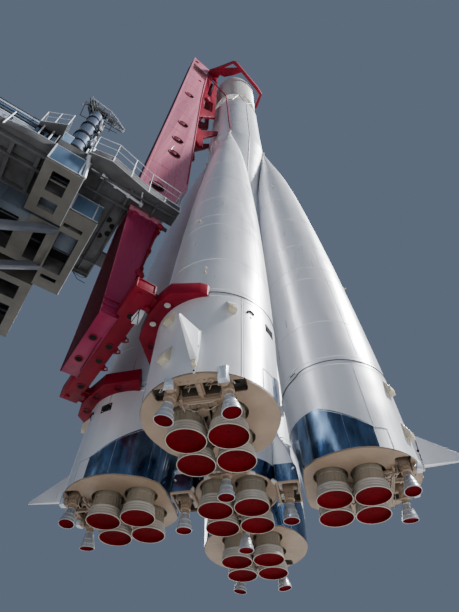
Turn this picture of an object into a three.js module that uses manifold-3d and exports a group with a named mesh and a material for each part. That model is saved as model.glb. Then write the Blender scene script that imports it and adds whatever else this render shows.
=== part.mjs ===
import * as THREE from "three";
import { mergeVertices } from "three/addons/utils/BufferGeometryUtils.js";
import Module from "manifold-3d";

const wasm = await Module();
wasm.setup();

// Space rocket with four strap-on boosters, hanging on its erector stand
// Half-size display model. Every length below is the full-size one, in millimetres.
// Heights are above the exit plane of the main nozzles.
const SCALE = 0.5;
const GROUND_DROP = 6800;
const SEAT = 0.6;
const ROUND = 32;

// Main engines
const NOZZLE = { exitR: 380, lipR: 345, collarR: 352, throatR: 300, pitch: 393, height: 531 };
const BASE_Z = 531;
const PLATE = 29;
const BOOSTER_CLUSTER_R = 2512;

// Strap-on boosters
const BOOSTER_LEAN = 0.0645;
const BOOSTER_BASE_R = 2728;
const TAIL_R = 1336;
const BELT_Z = 3000;
const HOUSING = { r1: 3965, z0: 400 };
const BAY = { r0: 3400, r1: 3870, half: 874, post: 160, top: 880, lugR: 3780, lugHalf: 95 };
const BOOSTER_PROFILE = [
  { z: 3000, r: 1343 },
  { z: 4500, r: 1310 },
  { z: 6500, r: 1243 },
  { z: 8600, r: 1150 },
  { z: 11000, r: 1010 },
  { z: 13500, r: 835 },
  { z: 15500, r: 640 },
  { z: 17000, r: 420 },
  { z: 18000, r: 255 },
  { z: 18800, r: 130 },
  { z: 19400, r: 45 },
];

// Steering chambers
const BOOSTER_VERNIER = { r: 3654, t: 487, z: 680, length: 770, splay: 8 };
const CORE_VERNIER = { r: 1171, t: 0, z: 620, length: 785, splay: 0 };
const TRUNNION_R = 70;

// Rudders
const RUDDER = { z: 1150, face: 4130, root: 4155, tip: 5150 };

// Wedge-shaped fairings on a booster's skin
const WEDGE = { half: 130, out: 150 };
const WEDGES = [
  { azimuth: -28, z0: 1060, z1: 1660, face: 210 },
  { azimuth: -31, z0: 2270, z1: 2840, face: 210 },
  { azimuth: 27, z0: 2330, z1: 2840, face: 210 },
];

// Core
const CORE_R = 1000;
const CORE_JOINT_Z = 14600;
const EAR = { r1: 1450, half: 450, z0: 470, roof: 850 };
const EAR_SLOPE = [[1405, 855], [1370, 915], [1250, 1340], [1110, 1580], [1040, 1900], [985, 2300]];
const EAR_BAY = { r0: 975, r1: 1365, half: 385 };
const TIE = { z0: 2550, z1: 2900, half: 70 };
const SOCKET = { r0: 1300, r1: 1565, half: 80, z0: 19400 + SEAT, z1: 19620 };
const TRUSS = { z0: 25500, z1: 26950, r0: 1335, r1: 1285, bays: 8 };
const STAGE_TOP = 30600;
const NOSE_TOP = 35900;

// Erector stand, in a frame turned so that X runs from the rocket to the boom
const BOOM_AZIMUTH = 225;
const BOOM = { half: 450, foot: 8700, armFoot: 2900 };
const BOOM_HOLES = [[3360, 23100], [3330, 18400], [3390, 16200], [3400, 14600], [3750, 11100]];
const YOKE = { x0: 3580, x1: 4060, z0: 2950, z1: 3300, reach: 2150, armHalf: 1200 };
const CLAMP_Z = { z0: 2850, z1: 3200 };
const CLAMP_OUTER = [[2690, 270], [3340, 950], [3480, 1770], [3470, 2100], [3390, 2470], [2900, 2830], [2720, 2885]];
const CLAMP_HOLES = [[2970, 880], [3275, 1500], [3270, 2150]];
const HEAD = { y0: 300, y1: 440, web: 100 };
const HOOP = { z0: 30450, z1: 30700 };
const HOOP_OUTER = [
  [2423, 120], [2423, 560], [2110, 930], [1400, 1890], [1200, 1990], [-960, 1480], [-1450, 1280], [-1690, 320],
];
const HOOP_INNER = [
  [-1520, 320], [-1300, 1150], [-890, 1290], [560, 1640], [950, 1150], [1350, 760], [1680, 680], [1700, 120],
];
const HOOP_WINDOW = [[1760, 1130], [1340, 1770], [880, 1730]];
const DECK = { z0: 8950, z1: 9350 };
const DECK_OUTLINE = [
  [2950, 480], [2950, 1080], [4140, 1150], [5510, 1440], [6220, 1320], [6220, 1060], [7145, 1020], [7170, 800],
  [7900, 800], [9600, 600], [9600, -6500], [5980, -6500], [5980, -3600], [5000, -3600], [5000, -3050], [4419, -3050], [4419, 480],
];
const FRAME_Z = 7900;
const LEG = { x0: 8500, x1: 9500, width: 800 };
const SLAB = { z0: -GROUND_DROP, z1: -GROUND_DROP + 500 };
const SLAB_OUTLINE = [
  [-2600, -3500], [-1200, -4500], [10300, -4700], [10300, 1900], [4000, 4300], [-1200, 4300], [-2600, 3300],
];

const paint = { white: 0xe6e7ec, khaki: 0xb7a78a, red: 0x9c1326, steel: 0x62656a, chrome: 0xc8ccd0 };
const finish = {
  white: new THREE.MeshStandardMaterial({ color: paint.white, roughness: 0.38, metalness: 0.15 }),
  khaki: new THREE.MeshStandardMaterial({ color: paint.khaki, roughness: 0.55, metalness: 0.1 }),
  red: new THREE.MeshStandardMaterial({ color: paint.red, roughness: 0.35, metalness: 0.1 }),
  steel: new THREE.MeshStandardMaterial({ color: paint.steel, roughness: 0.6, metalness: 0.3 }),
  chrome: new THREE.MeshStandardMaterial({ color: paint.chrome, roughness: 0.2, metalness: 0.9 }),
  concrete: new THREE.MeshStandardMaterial({ color: 0x9b9a95, roughness: 0.9, metalness: 0 }),
};

const rocket = new THREE.Group();

// Closed solids
function toSolid(geometry) {
  const bare = geometry.clone();
  bare.deleteAttribute("normal");
  bare.deleteAttribute("uv");
  const merged = mergeVertices(bare, 0.01);
  return new wasm.Manifold(new wasm.Mesh({
    numProp: 3,
    vertProperties: new Float32Array(merged.attributes.position.array),
    triVerts: new Uint32Array(merged.index.array),
  }));
}

function toGeometry(solid) {
  const mesh = solid.getMesh();
  const geometry = new THREE.BufferGeometry();
  const points = new Float32Array(mesh.numVert * 3);
  for (let i = 0; i < mesh.numVert; i += 1) {
    for (let k = 0; k < 3; k += 1) {
      points[3 * i + k] = mesh.vertProperties[mesh.numProp * i + k];
    }
  }
  geometry.setAttribute("position", new THREE.BufferAttribute(points, 3));
  geometry.setIndex(new THREE.BufferAttribute(new Uint32Array(mesh.triVerts), 1));
  geometry.computeVertexNormals();
  return geometry;
}

function join(geometries) {
  return geometries.map(toSolid).reduce((sum, solid) => sum.add(solid));
}

function cut(solid, geometries) {
  return geometries.map(toSolid).reduce((rest, solid2) => rest.subtract(solid2), solid);
}

function addPart(name, solid, material, azimuth = 0) {
  const mesh = new THREE.Mesh(toGeometry(solid), material);
  mesh.name = name;
  mesh.scale.setScalar(SCALE);
  mesh.rotation.z = THREE.MathUtils.degToRad(azimuth);
  mesh.position.z = GROUND_DROP * SCALE;
  rocket.add(mesh);
  return mesh;
}

function block(x0, x1, y0, y1, z0, z1) {
  const geometry = new THREE.BoxGeometry(x1 - x0, y1 - y0, z1 - z0);
  return geometry.translate((x0 + x1) / 2, (y0 + y1) / 2, (z0 + z1) / 2);
}

// Turned about Z, from a profile of radius and height that starts and ends on the axis
function turned(profile, sides) {
  const points = profile.map(([r, z]) => new THREE.Vector2(r, z));
  return new THREE.LatheGeometry(points, sides).rotateX(Math.PI / 2);
}

function rod(from, to, radius, sides) {
  const a = new THREE.Vector3(...from);
  const b = new THREE.Vector3(...to);
  const along = b.clone().sub(a);
  const geometry = new THREE.CylinderGeometry(radius, radius, along.length(), sides);
  const turn = new THREE.Quaternion().setFromUnitVectors(new THREE.Vector3(0, 1, 0), along.normalize());
  return geometry.applyQuaternion(turn).translate((a.x + b.x) / 2, (a.y + b.y) / 2, (a.z + b.z) / 2);
}

// Flat plate in X and Y with an even thickness in Z
function plate(outline, z0, z1, holes = []) {
  const shape = new THREE.Shape(outline.map(([x, y]) => new THREE.Vector2(x, y)));
  for (const hole of holes) {
    const path = new THREE.Path();
    path.absarc(hole.x, hole.y, hole.r, 0, 2 * Math.PI, true);
    shape.holes.push(path);
  }
  const geometry = new THREE.ExtrudeGeometry(shape, { depth: z1 - z0, bevelEnabled: false, curveSegments: 8 });
  return geometry.translate(0, 0, z0);
}

// Flat plate in X and Z with its thickness in Y
function wall(outline, y0, y1) {
  const shape = new THREE.Shape(outline.map(([x, z]) => new THREE.Vector2(x, z)));
  const geometry = new THREE.ExtrudeGeometry(shape, { depth: y1 - y0, bevelEnabled: false });
  return geometry.rotateX(Math.PI / 2).translate(0, y1, 0);
}

// Skin stretched over a stack of rings with the same number of points
function stacked(rings) {
  const count = rings[0].length;
  const points = rings.flat().flat();
  const faces = [];
  for (let level = 0; level + 1 < rings.length; level += 1) {
    for (let i = 0; i < count; i += 1) {
      const a = level * count + i;
      const b = level * count + (i + 1) % count;
      faces.push(a, b, b + count, a, b + count, a + count);
    }
  }
  for (const [level, flip] of [[0, true], [rings.length - 1, false]]) {
    const ring = rings[level];
    const middle = [0, 1, 2].map((k) => ring.reduce((sum, p) => sum + p[k], 0) / count);
    const centre = points.length / 3;
    points.push(...middle);
    for (let i = 0; i < count; i += 1) {
      const a = level * count + i;
      const b = level * count + (i + 1) % count;
      faces.push(...(flip ? [centre, b, a] : [centre, a, b]));
    }
  }
  const geometry = new THREE.BufferGeometry();
  geometry.setAttribute("position", new THREE.BufferAttribute(new Float32Array(points), 3));
  geometry.setIndex(faces);
  return geometry;
}

// Booster sections, X outward from the rocket's axis
const ROUND_STEPS = [0, 10, 20, 30, 40, 50, 60, 70, 80, 90, 100, 110, 129, 145, 162];
const RING_ANGLES = [...ROUND_STEPS, 180, ...ROUND_STEPS.slice(1).reverse().map((a) => -a)];

function boosterCentre(z) {
  return BOOSTER_BASE_R - (z - BASE_Z) * BOOSTER_LEAN;
}

// Radius of the round part of the tail
function boosterSkin(z) {
  return THREE.MathUtils.mapLinear(z, 1760, BELT_Z, 1340, 1343);
}

function roundRing(z, r) {
  return RING_ANGLES.map((angle) => {
    const a = THREE.MathUtils.degToRad(angle);
    return [boosterCentre(z) + r * Math.cos(a), r * Math.sin(a), z];
  });
}

// Outline of the base: round, with a flat towards the core
const FACET_R = { 129: 1385, 145: 1400, 162: 1262, 180: 1200 };

function baseRing(z, inset = 0) {
  return RING_ANGLES.map((angle) => {
    const a = THREE.MathUtils.degToRad(angle);
    const r = (FACET_R[Math.abs(angle)] ?? TAIL_R) - inset;
    return [BOOSTER_BASE_R + r * Math.cos(a), r * Math.sin(a), z];
  });
}

function nozzles(clusterR) {
  const profile = [
    [0, BASE_Z + 10],
    [NOZZLE.throatR, BASE_Z + 10],
    [NOZZLE.throatR + 8, 262],
    [NOZZLE.collarR, 222],
    [NOZZLE.exitR, 0],
    [NOZZLE.lipR, 0],
    [NOZZLE.lipR - 8, 62],
    [0, 92],
  ].reverse();
  const list = [];
  for (const sx of [-1, 1]) {
    for (const sy of [-1, 1]) {
      list.push(turned(profile, 16).translate(clusterR + sx * NOZZLE.pitch, sy * NOZZLE.pitch, 0));
    }
  }
  return list;
}

// Swinging chamber with its trunnion along X; it hangs from the pivot
function vernier(spec, trunnionFrom, trunnionTo) {
  const depth = spec.length;
  const profile = [
    [0, -62],
    [92, -62],
    [104, -300],
    [96, -400],
    [140, -560],
    [176, -depth],
    [160, -depth],
    [152, -depth + 45],
    [0, -depth + 65],
  ].reverse();
  const lean = THREE.MathUtils.degToRad(spec.splay) * Math.sign(spec.t);
  const bell = turned(profile, 14).rotateX(lean);
  const yoke = block(-112, 112, -100, 100, -310, 40).rotateX(lean);
  const pin = rod([trunnionFrom - spec.r, 0, 0], [trunnionTo - spec.r, 0, 0], TRUNNION_R, 12);
  return join([bell, yoke, pin].map((g) => g.translate(spec.r, spec.t, spec.z)));
}

// Four boosters
const BOOSTERS = [
  { name: "booster_front", azimuth: -90 },
  { name: "booster_right", azimuth: 0 },
  { name: "booster_back", azimuth: 90 },
  { name: "booster_left", azimuth: 180 },
];

function bayBoxes(r0, post) {
  return [-1, 1].map((side) => {
    const edges = [side * post, side * BAY.half].sort((p, q) => p - q);
    return block(r0, BAY.r1, edges[0], edges[1], 300, BAY.top);
  });
}

function boosterTail() {
  const rings = [
    baseRing(BASE_Z + PLATE + SEAT),
    roundRing(1760, 1340),
    roundRing(BELT_Z - SEAT, 1343),
  ];
  const root = wall([[3850, 750], [RUDDER.face, 790], [RUDDER.face, 1560], [4000, 1690], [3850, 1760]], -70, 70);
  const shell = join([stacked(rings), root, ...WEDGES.map(wedge)]);
  return cut(shell, bayBoxes(BAY.r0, -1));
}

// Wedge-shaped fairing on the skin, open face down
function wedge({ azimuth, z0, z1, face }) {
  const angle = THREE.MathUtils.degToRad(azimuth);
  const r = boosterSkin(z0);
  const outline = [[r - 60, z0], [r + WEDGE.out, z0], [r + WEDGE.out, z0 + face], [r - 60, z1]];
  return wall(outline, -WEDGE.half, WEDGE.half).rotateZ(angle).translate(boosterCentre(z0), 0, 0);
}

function boosterTank() {
  const rings = BOOSTER_PROFILE.map(({ z, r }) => roundRing(z, r));
  return join([stacked(rings)]);
}

function boosterEngine() {
  const edge = BAY.r0 + 40;
  const top = BAY.top - SEAT;
  const base = stacked([baseRing(BASE_Z, 18), baseRing(BASE_Z + PLATE, 18)]);
  const trimmed = cut(join([base, ...nozzles(BOOSTER_CLUSTER_R)]), bayBoxes(edge, BAY.post));
  const web = block(BAY.r0 + SEAT, edge, -800, 800, BASE_Z, top);
  const roof = block(BAY.r0 + SEAT, BAY.r1 - SEAT, -800, 800, top - 60, top);
  const post = block(edge - 20, BAY.r1 - SEAT, -BAY.post, BAY.post, BASE_Z, top);
  const lugs = [-1, 1].map((side) => {
    const t = side * BOOSTER_VERNIER.t;
    return [
      block(BAY.lugR, BAY.r1 - SEAT, t - BAY.lugHalf, t + BAY.lugHalf, HOUSING.z0, top),
      block(BAY.lugR, HOUSING.r1, t - BAY.lugHalf, t + BAY.lugHalf, HOUSING.z0, BASE_Z + PLATE - 10),
    ];
  }).flat();
  const canister = turned([[0, 360], [125, 360], [125, 545], [0, 545]], 12).translate(3060, 0, 0);
  return trimmed.add(join([web, roof, post, canister, ...lugs]));
}

function rudder() {
  const outline = [
    [RUDDER.root, 1540], [RUDDER.root, 785], [RUDDER.tip, 825], [RUDDER.tip, 880],
  ].reverse();
  const slab = join([wall(outline, -62, 62)]);
  const taper = 50 / (RUDDER.tip - RUDDER.root);
  const away = [];
  for (const side of [-1, 1]) {
    const x0 = RUDDER.root - 40;
    const x1 = RUDDER.tip + 40;
    const y0 = 62 + 40 * taper;
    const y1 = 12 - 40 * taper;
    const wedge = new THREE.Shape([
      new THREE.Vector2(x0, side * y0),
      new THREE.Vector2(x1, side * y1),
      new THREE.Vector2(x1, side * 200),
      new THREE.Vector2(x0, side * 200),
    ]);
    away.push(new THREE.ExtrudeGeometry(wedge, { depth: 1400, bevelEnabled: false }).translate(0, 0, 500));
  }
  const shaft = rod([RUDDER.face + SEAT, 0, RUDDER.z], [RUDDER.root + 200, 0, RUDDER.z], 48, 16);
  return cut(slab, away).add(toSolid(shaft));
}

for (const { name, azimuth } of BOOSTERS) {
  addPart(`${name}_tail`, boosterTail(), finish.white, azimuth);
  addPart(`${name}_tank`, boosterTank(), finish.white, azimuth);
  addPart(`${name}_engine`, boosterEngine(), finish.khaki, azimuth);
  addPart(`${name}_rudder`, rudder(), finish.white, azimuth);
  for (const [side, sign] of [["a", -1], ["b", 1]]) {
    const spec = { ...BOOSTER_VERNIER, t: sign * BOOSTER_VERNIER.t };
    const swing = vernier(spec, BAY.r0 + 40 + SEAT, BAY.lugR - SEAT);
    addPart(`${name}_vernier_${side}`, swing, finish.khaki, azimuth);
  }
}

// Core

function around(geometries) {
  return [0, 90, 180, 270].flatMap((angle) => (
    geometries.map((g) => g.clone().rotateZ(THREE.MathUtils.degToRad(angle)))
  ));
}

function coreTail() {
  const drum = turned([
    [0, BASE_Z + PLATE + SEAT], [950, BASE_Z + PLATE + SEAT], [CORE_R, 1500], [CORE_R, BELT_Z - SEAT], [0, BELT_Z - SEAT],
  ], ROUND);
  const ear = wall([[600, EAR.z0], [EAR.r1, EAR.z0], ...EAR_SLOPE, [600, 2300]], -EAR.half, EAR.half);
  const bay = block(EAR_BAY.r0, EAR_BAY.r1, -EAR_BAY.half, EAR_BAY.half, 200, EAR.roof);
  const reach = (z) => boosterCentre(z) - boosterSkin(z) - SEAT;
  const tie = wall([[800, TIE.z0], [reach(TIE.z0), TIE.z0], [reach(TIE.z1), TIE.z1], [800, TIE.z1]], -TIE.half, TIE.half);
  const below = turned([[0, 300], [940, 300], [940, BASE_Z + PLATE + SEAT], [0, BASE_Z + PLATE + SEAT]], ROUND);
  return cut(join([drum, ...around([ear, tie])]), [below, ...around([bay])]);
}

addPart("core_tail", coreTail(), finish.white);
const coreBase = turned([[0, BASE_Z], [925, BASE_Z], [925, BASE_Z + PLATE], [0, BASE_Z + PLATE]], ROUND);
addPart("core_engine", join([coreBase, ...nozzles(0)]), finish.khaki);
for (const [index, azimuth] of [0, 90, 180, 270].entries()) {
  const swing = vernier({ ...CORE_VERNIER, splay: 0 }, EAR_BAY.r0 + SEAT, EAR_BAY.r1 - SEAT);
  addPart(`core_vernier_${index + 1}`, swing, finish.khaki, azimuth);
}
addPart("core_tank", join([turned([
  [0, BELT_Z], [CORE_R, BELT_Z], [CORE_R, CORE_JOINT_Z - SEAT], [0, CORE_JOINT_Z - SEAT],
], ROUND)]), finish.white);
addPart("core_shoulder", join([turned([
  [0, CORE_JOINT_Z], [CORE_R, CORE_JOINT_Z], [1440, 19300], [1475, 19700], [1475, 20150], [1420, 22000],
  [1370, 24500], [TRUSS.r0 + 15, TRUSS.z0 - SEAT], [0, TRUSS.z0 - SEAT],
], ROUND), ...around([
  block(SOCKET.r0, SOCKET.r1, -SOCKET.half, SOCKET.half, SOCKET.z0, SOCKET.z1),
])]), finish.white);

function truss() {
  const list = [];
  for (const [z0, z1] of [[TRUSS.z0, TRUSS.z0 + 70], [TRUSS.z1 - 70, TRUSS.z1]]) {
    const r = z0 === TRUSS.z0 ? TRUSS.r0 : TRUSS.r1;
    list.push(turned([[r - 90, z0], [r, z0], [r, z1], [r - 90, z1], [r - 90, z0]], ROUND));
  }
  const spot = (step, r, z) => {
    const a = (step * Math.PI) / TRUSS.bays;
    return [r * Math.cos(a), r * Math.sin(a), z];
  };
  for (let i = 0; i < TRUSS.bays; i += 1) {
    const foot = spot(2 * i, TRUSS.r0 - 45, TRUSS.z0 + 30);
    const left = spot(2 * i - 1, TRUSS.r1 - 45, TRUSS.z1 - 30);
    const right = spot(2 * i + 1, TRUSS.r1 - 45, TRUSS.z1 - 30);
    list.push(rod(foot, left, 30, 6), rod(foot, right, 30, 6));
  }
  return join(list);
}

addPart("interstage_truss", truss(), finish.khaki);
addPart("upper_stage", join([turned([
  [0, TRUSS.z1 - 500], [500, TRUSS.z1 - 450], [800, TRUSS.z1 + SEAT], [TRUSS.r1 + 5, TRUSS.z1 + SEAT],
  [1300, TRUSS.z1 + 300], [1300, STAGE_TOP - SEAT], [0, STAGE_TOP - SEAT],
], ROUND)]), finish.steel);
addPart("payload_fairing", join([turned([
  [0, STAGE_TOP], [1285, STAGE_TOP], [1205, 31100], [990, 31900], [740, 32900], [500, 33900], [290, 34800],
  [130, 35500], [40, 35830], [0, NOSE_TOP],
], ROUND)]), finish.white);

// Erector boom and its arms
function rig(name, solid, material) {
  addPart(name, solid, material, BOOM_AZIMUTH);
}

const boomInner = (z) => THREE.MathUtils.mapLinear(z, 24000, 30000, 2600, 2424);

function boom() {
  const side = [
    [3400, BOOM.foot], [4420, BOOM.foot], [4400, 11300], [4080, 19000], [3620, 31500], [2424, 30900], [2424, 30000],
    [2600, 24000], [2560, 12100],
  ];
  const pockets = BOOM_HOLES.flatMap(([x, z]) => [-1, 1].map((s) => (
    rod([x, s * (BOOM.half - 120), z], [x, s * (BOOM.half + 50), z], 250, 16)
  )));
  return cut(join([wall(side, -BOOM.half, BOOM.half)]), pockets);
}

rig("gantry_boom", boom(), finish.red);
const rect = (x0, x1, y, z) => [[x0, -y, z], [x1, -y, z], [x1, y, z], [x0, y, z]];
rig("gantry_arm", join([stacked([
  rect(3975, 4400, 1150, BOOM.armFoot), rect(3870, 4390, 1000, 3900), rect(3410, 4410, 440, BOOM.foot - SEAT),
])]), finish.red);
const armInner = (z) => THREE.MathUtils.mapLinear(z, BOOM.armFoot, 3900, 3975, 3870) - 1;
rig("gantry_yoke", join([
  wall([
    [YOKE.x0, YOKE.z0], [armInner(YOKE.z0), YOKE.z0], [armInner(YOKE.z1), YOKE.z1], [YOKE.x0, YOKE.z1],
  ], -YOKE.reach, YOKE.reach),
  block(YOKE.x0, YOKE.x1, YOKE.armHalf, YOKE.reach, YOKE.z0, YOKE.z1),
  block(YOKE.x0, YOKE.x1, -YOKE.reach, -YOKE.armHalf, YOKE.z0, YOKE.z1),
]), finish.red);

// Clamp around a booster's belt: outer outline, then the round inner edge
function clamp(side) {
  const reach = boosterCentre(CLAMP_Z.z0);
  const centre = [reach * Math.SQRT1_2, reach * Math.SQRT1_2];
  const inner = [];
  const first = Math.atan2(2870 - centre[1], 2660 - centre[0]);
  const last = Math.atan2(270 - centre[1], 2690 - centre[0]);
  for (let i = 0; i <= 10; i += 1) {
    const a = first + ((last - first) * i) / 10;
    inner.push([centre[0] + 1320 * Math.cos(a), centre[1] + 1320 * Math.sin(a)]);
  }
  const outline = [...CLAMP_OUTER, ...inner];
  const holes = CLAMP_HOLES.map(([x, y]) => ({ x, y: side * y, r: 85 }));
  const flipped = outline.map(([x, y]) => [x, side * y]);
  const solid = join([plate(side > 0 ? flipped : flipped.reverse(), CLAMP_Z.z0, CLAMP_Z.z1, holes)]);
  const seat = stacked([
    roundRing(1760, 1341), roundRing(BELT_Z, 1344), ...BOOSTER_PROFILE.slice(1, 3).map(({ z, r }) => roundRing(z, r + 1)),
  ]);
  return cut(solid, [seat.rotateZ(side * Math.PI / 4)]);
}

for (const [name, side] of [["gantry_clamp_front", 1], ["gantry_clamp_left", -1]]) {
  const boss = block(3400, YOKE.x0 - SEAT, side > 0 ? 1650 : -2050, side > 0 ? 2050 : -1650, 2980, 3180);
  rig(name, clamp(side).add(toSolid(boss)), finish.red);
}

// Cradle at the shoulder, then the head frame with its two hoop arms
const cradleSide = [
  [2577, 17500], [2330, 17100], [2120, 17330], [2230, 18300], [1900, 19000], [1640, 19500], [1330, 20250],
  [1330, 20560], [1900, 19750], [2250, 19150], [2577, 19150],
].reverse();
rig("gantry_cradle", cut(join([
  wall(cradleSide, 330, 470),
  wall(cradleSide, -470, -330),
  block(2480, 2577, -470, 470, 17700, 19050),
]), [turned([[0, 19600], [1445, 19300], [1480, 19700], [1480, 20160], [1428, 22000], [0, 22000]], ROUND)]), finish.red);

const headSide = [
  [boomInner(24000) - 11, 20900], [1610, 22400], [1670, 26640], [1700, HOOP.z0 - SEAT], [2423, HOOP.z0 - SEAT],
  [2423, 30000], [2599, 24000],
].reverse();
const headSlots = [
  [[2300, 25400], [2060, 25400], [1820, 29700], [2080, 29700]],
  [[2380, 22600], [1850, 22900], [1850, 24500], [2400, 24500]],
];
const headWeb = [
  [boomInner(24000) - 11, 20900], [2599, 24000], [2423, 30000], [2423, HOOP.z0 - SEAT],
].concat([[2423 - HEAD.web, HOOP.z0 - SEAT], [2423 - HEAD.web, 30000], [2599 - HEAD.web, 24000], [2589 - HEAD.web, 20900]]);
rig("gantry_head", cut(join([
  wall(headSide, HEAD.y0, HEAD.y1),
  wall(headSide, -HEAD.y1, -HEAD.y0),
  wall(headWeb, -HEAD.y1, HEAD.y1),
]), headSlots.map((slot) => wall(slot, -HEAD.y1 - 50, HEAD.y1 + 50))), finish.red);

for (const [name, side] of [["gantry_hoop_front", 1], ["gantry_hoop_left", -1]]) {
  const flip = (points) => points.map(([x, y]) => [x, side * y]);
  const outline = flip([...HOOP_OUTER, ...HOOP_INNER]);
  const hoop = join([plate(side > 0 ? outline : outline.reverse(), HOOP.z0, HOOP.z1)]);
  const window = flip(HOOP_WINDOW);
  rig(name, cut(hoop, [plate(side > 0 ? window : window.reverse(), HOOP.z0 - 50, HOOP.z1 + 50)]), finish.red);
}

// Deck and tower; the deck passes beside the boom with a tongue on the front side
rig("stand_deck", join([plate([...DECK_OUTLINE].reverse(), DECK.z0, DECK.z1)]), finish.steel);

function windowFrame(x0, x1, y0, y1, windows) {
  const frame = join([block(x0, x1, y0, y1, FRAME_Z, DECK.z0 - SEAT)]);
  return cut(frame, windows.map(([a, b, c, d]) => block(a, b, c, d, FRAME_Z - 50, DECK.z0 + 50)));
}

const wing = windowFrame(5600, 8400, -2850, -950, [
  [6250, 6850, -2600, -1250], [7150, 8050, -2600, -1250],
]);
rig("stand_frame_inner", windowFrame(5070, 5990, -3470, -130, [
  [5280, 5780, -620, -380], [5280, 5780, -2350, -950], [5280, 5780, -3200, -2800],
]).add(cut(wing, [block(5000, 5985, -3000, -900, FRAME_Z - 50, DECK.z0 + 50)])), finish.khaki);
rig("stand_frame_outer", windowFrame(6000, 7140, -850, 1020, [
  [6280, 6860, 180, 760], [6280, 6860, -580, -80],
]), finish.khaki);

rig("stand_frame_back", windowFrame(5920, 8400, -6450, -3560, [
  [6270, 7200, -4500, -3850], [6270, 7200, -6100, -4900], [7500, 8150, -6100, -3850],
]), finish.khaki);

for (const [name, y0, brace0] of [["stand_leg_front", -1500, -1180], ["stand_leg_back", -3300, -2820]]) {
  const column = block(LEG.x0, LEG.x1, y0, y0 + LEG.width, SLAB.z1 + SEAT, DECK.z0 - SEAT);
  const brace = wall([[LEG.x0 + 100, 5900], [LEG.x0 + 100, 6250], [6350, FRAME_Z - SEAT], [5950, FRAME_Z - SEAT]],
    brace0, brace0 + 200);
  rig(name, join([column, brace]), finish.steel);
}
rig("stand_slab", join([plate(SLAB_OUTLINE, SLAB.z0, SLAB.z1)]), finish.concrete);
// Walkway on the deck: slatted parapet, cabinet under a small raised platform, and a low box beside the mast
rig("stand_walkway", join([
  block(7960, 9550, 300, 590, DECK.z1 + SEAT, 10640),
  block(7250, 7960, 250, 700, DECK.z1 + SEAT, 10210),
  plate([[7180, 200], [7950, 200], [7950, 760], [7180, 1130]], 10200, 10290),
  block(6880, 7260, 640, 700, DECK.z1 + SEAT, 10560),
]), finish.steel);
rig("stand_jack", join([
  turned([
    [0, 0], [325, 0], [325, 1500], [300, 1500], [300, 2900], [270, 2900], [270, 3900], [240, 3900], [240, 5310], [0, 5310],
  ], 20).translate(6750, 0, DECK.z1 + SEAT),
  block(5750, 7400, -350, 350, DECK.z1 + 5300, DECK.z1 + 5400),
]), finish.chrome);

export default rocket;
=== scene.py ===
"""Dresses the half-size space rocket and its erector stand around their CAD frame.

Shapes are drawn in full-size millimetres, with heights above the exit plane of the main bells and X pointing
outward from the rocket's axis. Piece.settle brings them to the model's metres.
"""
import logging
import math
from collections.abc import Callable, Iterable, Sequence
from dataclasses import dataclass, field
from enum import Enum
from itertools import pairwise

import bpy
from mathutils import Matrix, Vector


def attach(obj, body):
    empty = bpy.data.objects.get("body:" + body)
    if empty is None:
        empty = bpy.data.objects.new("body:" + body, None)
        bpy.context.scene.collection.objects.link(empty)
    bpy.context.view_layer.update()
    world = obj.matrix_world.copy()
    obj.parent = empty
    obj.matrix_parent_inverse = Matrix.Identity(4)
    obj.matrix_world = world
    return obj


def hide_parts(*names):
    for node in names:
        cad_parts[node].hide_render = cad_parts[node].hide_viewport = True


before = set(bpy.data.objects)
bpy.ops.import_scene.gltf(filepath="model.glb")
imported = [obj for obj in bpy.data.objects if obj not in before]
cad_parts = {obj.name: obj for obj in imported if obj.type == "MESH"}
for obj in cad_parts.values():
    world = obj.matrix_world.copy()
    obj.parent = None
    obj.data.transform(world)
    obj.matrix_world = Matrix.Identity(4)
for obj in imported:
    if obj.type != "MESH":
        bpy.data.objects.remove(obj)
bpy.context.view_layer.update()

log = logging.getLogger("rocket")

SCALE = 0.0005
GROUND_DROP = 6800
ROOT = "rocket_and_stand"
Point = tuple[float, float, float]
Profile = Sequence[tuple[float, float]]
Shape = bpy.types.Object
FaceTest = Callable[[Vector, Vector], bool]


class Grain(Enum):
    """How a finish varies over its surface."""

    STREAKED = "streaked"
    MOTTLED = "mottled"
    BRUSHED = "brushed"
    SCRATCHED = "scratched"
    SPECKLED = "speckled"


GRAIN_SCALE = {
    Grain.STREAKED: (3, 3, 0.35),
    Grain.MOTTLED: (4, 4, 4),
    Grain.BRUSHED: (26, 26, 1.2),
    Grain.SCRATCHED: (9, 9, 2.4),
    Grain.SPECKLED: (30, 30, 30),
}


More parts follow.
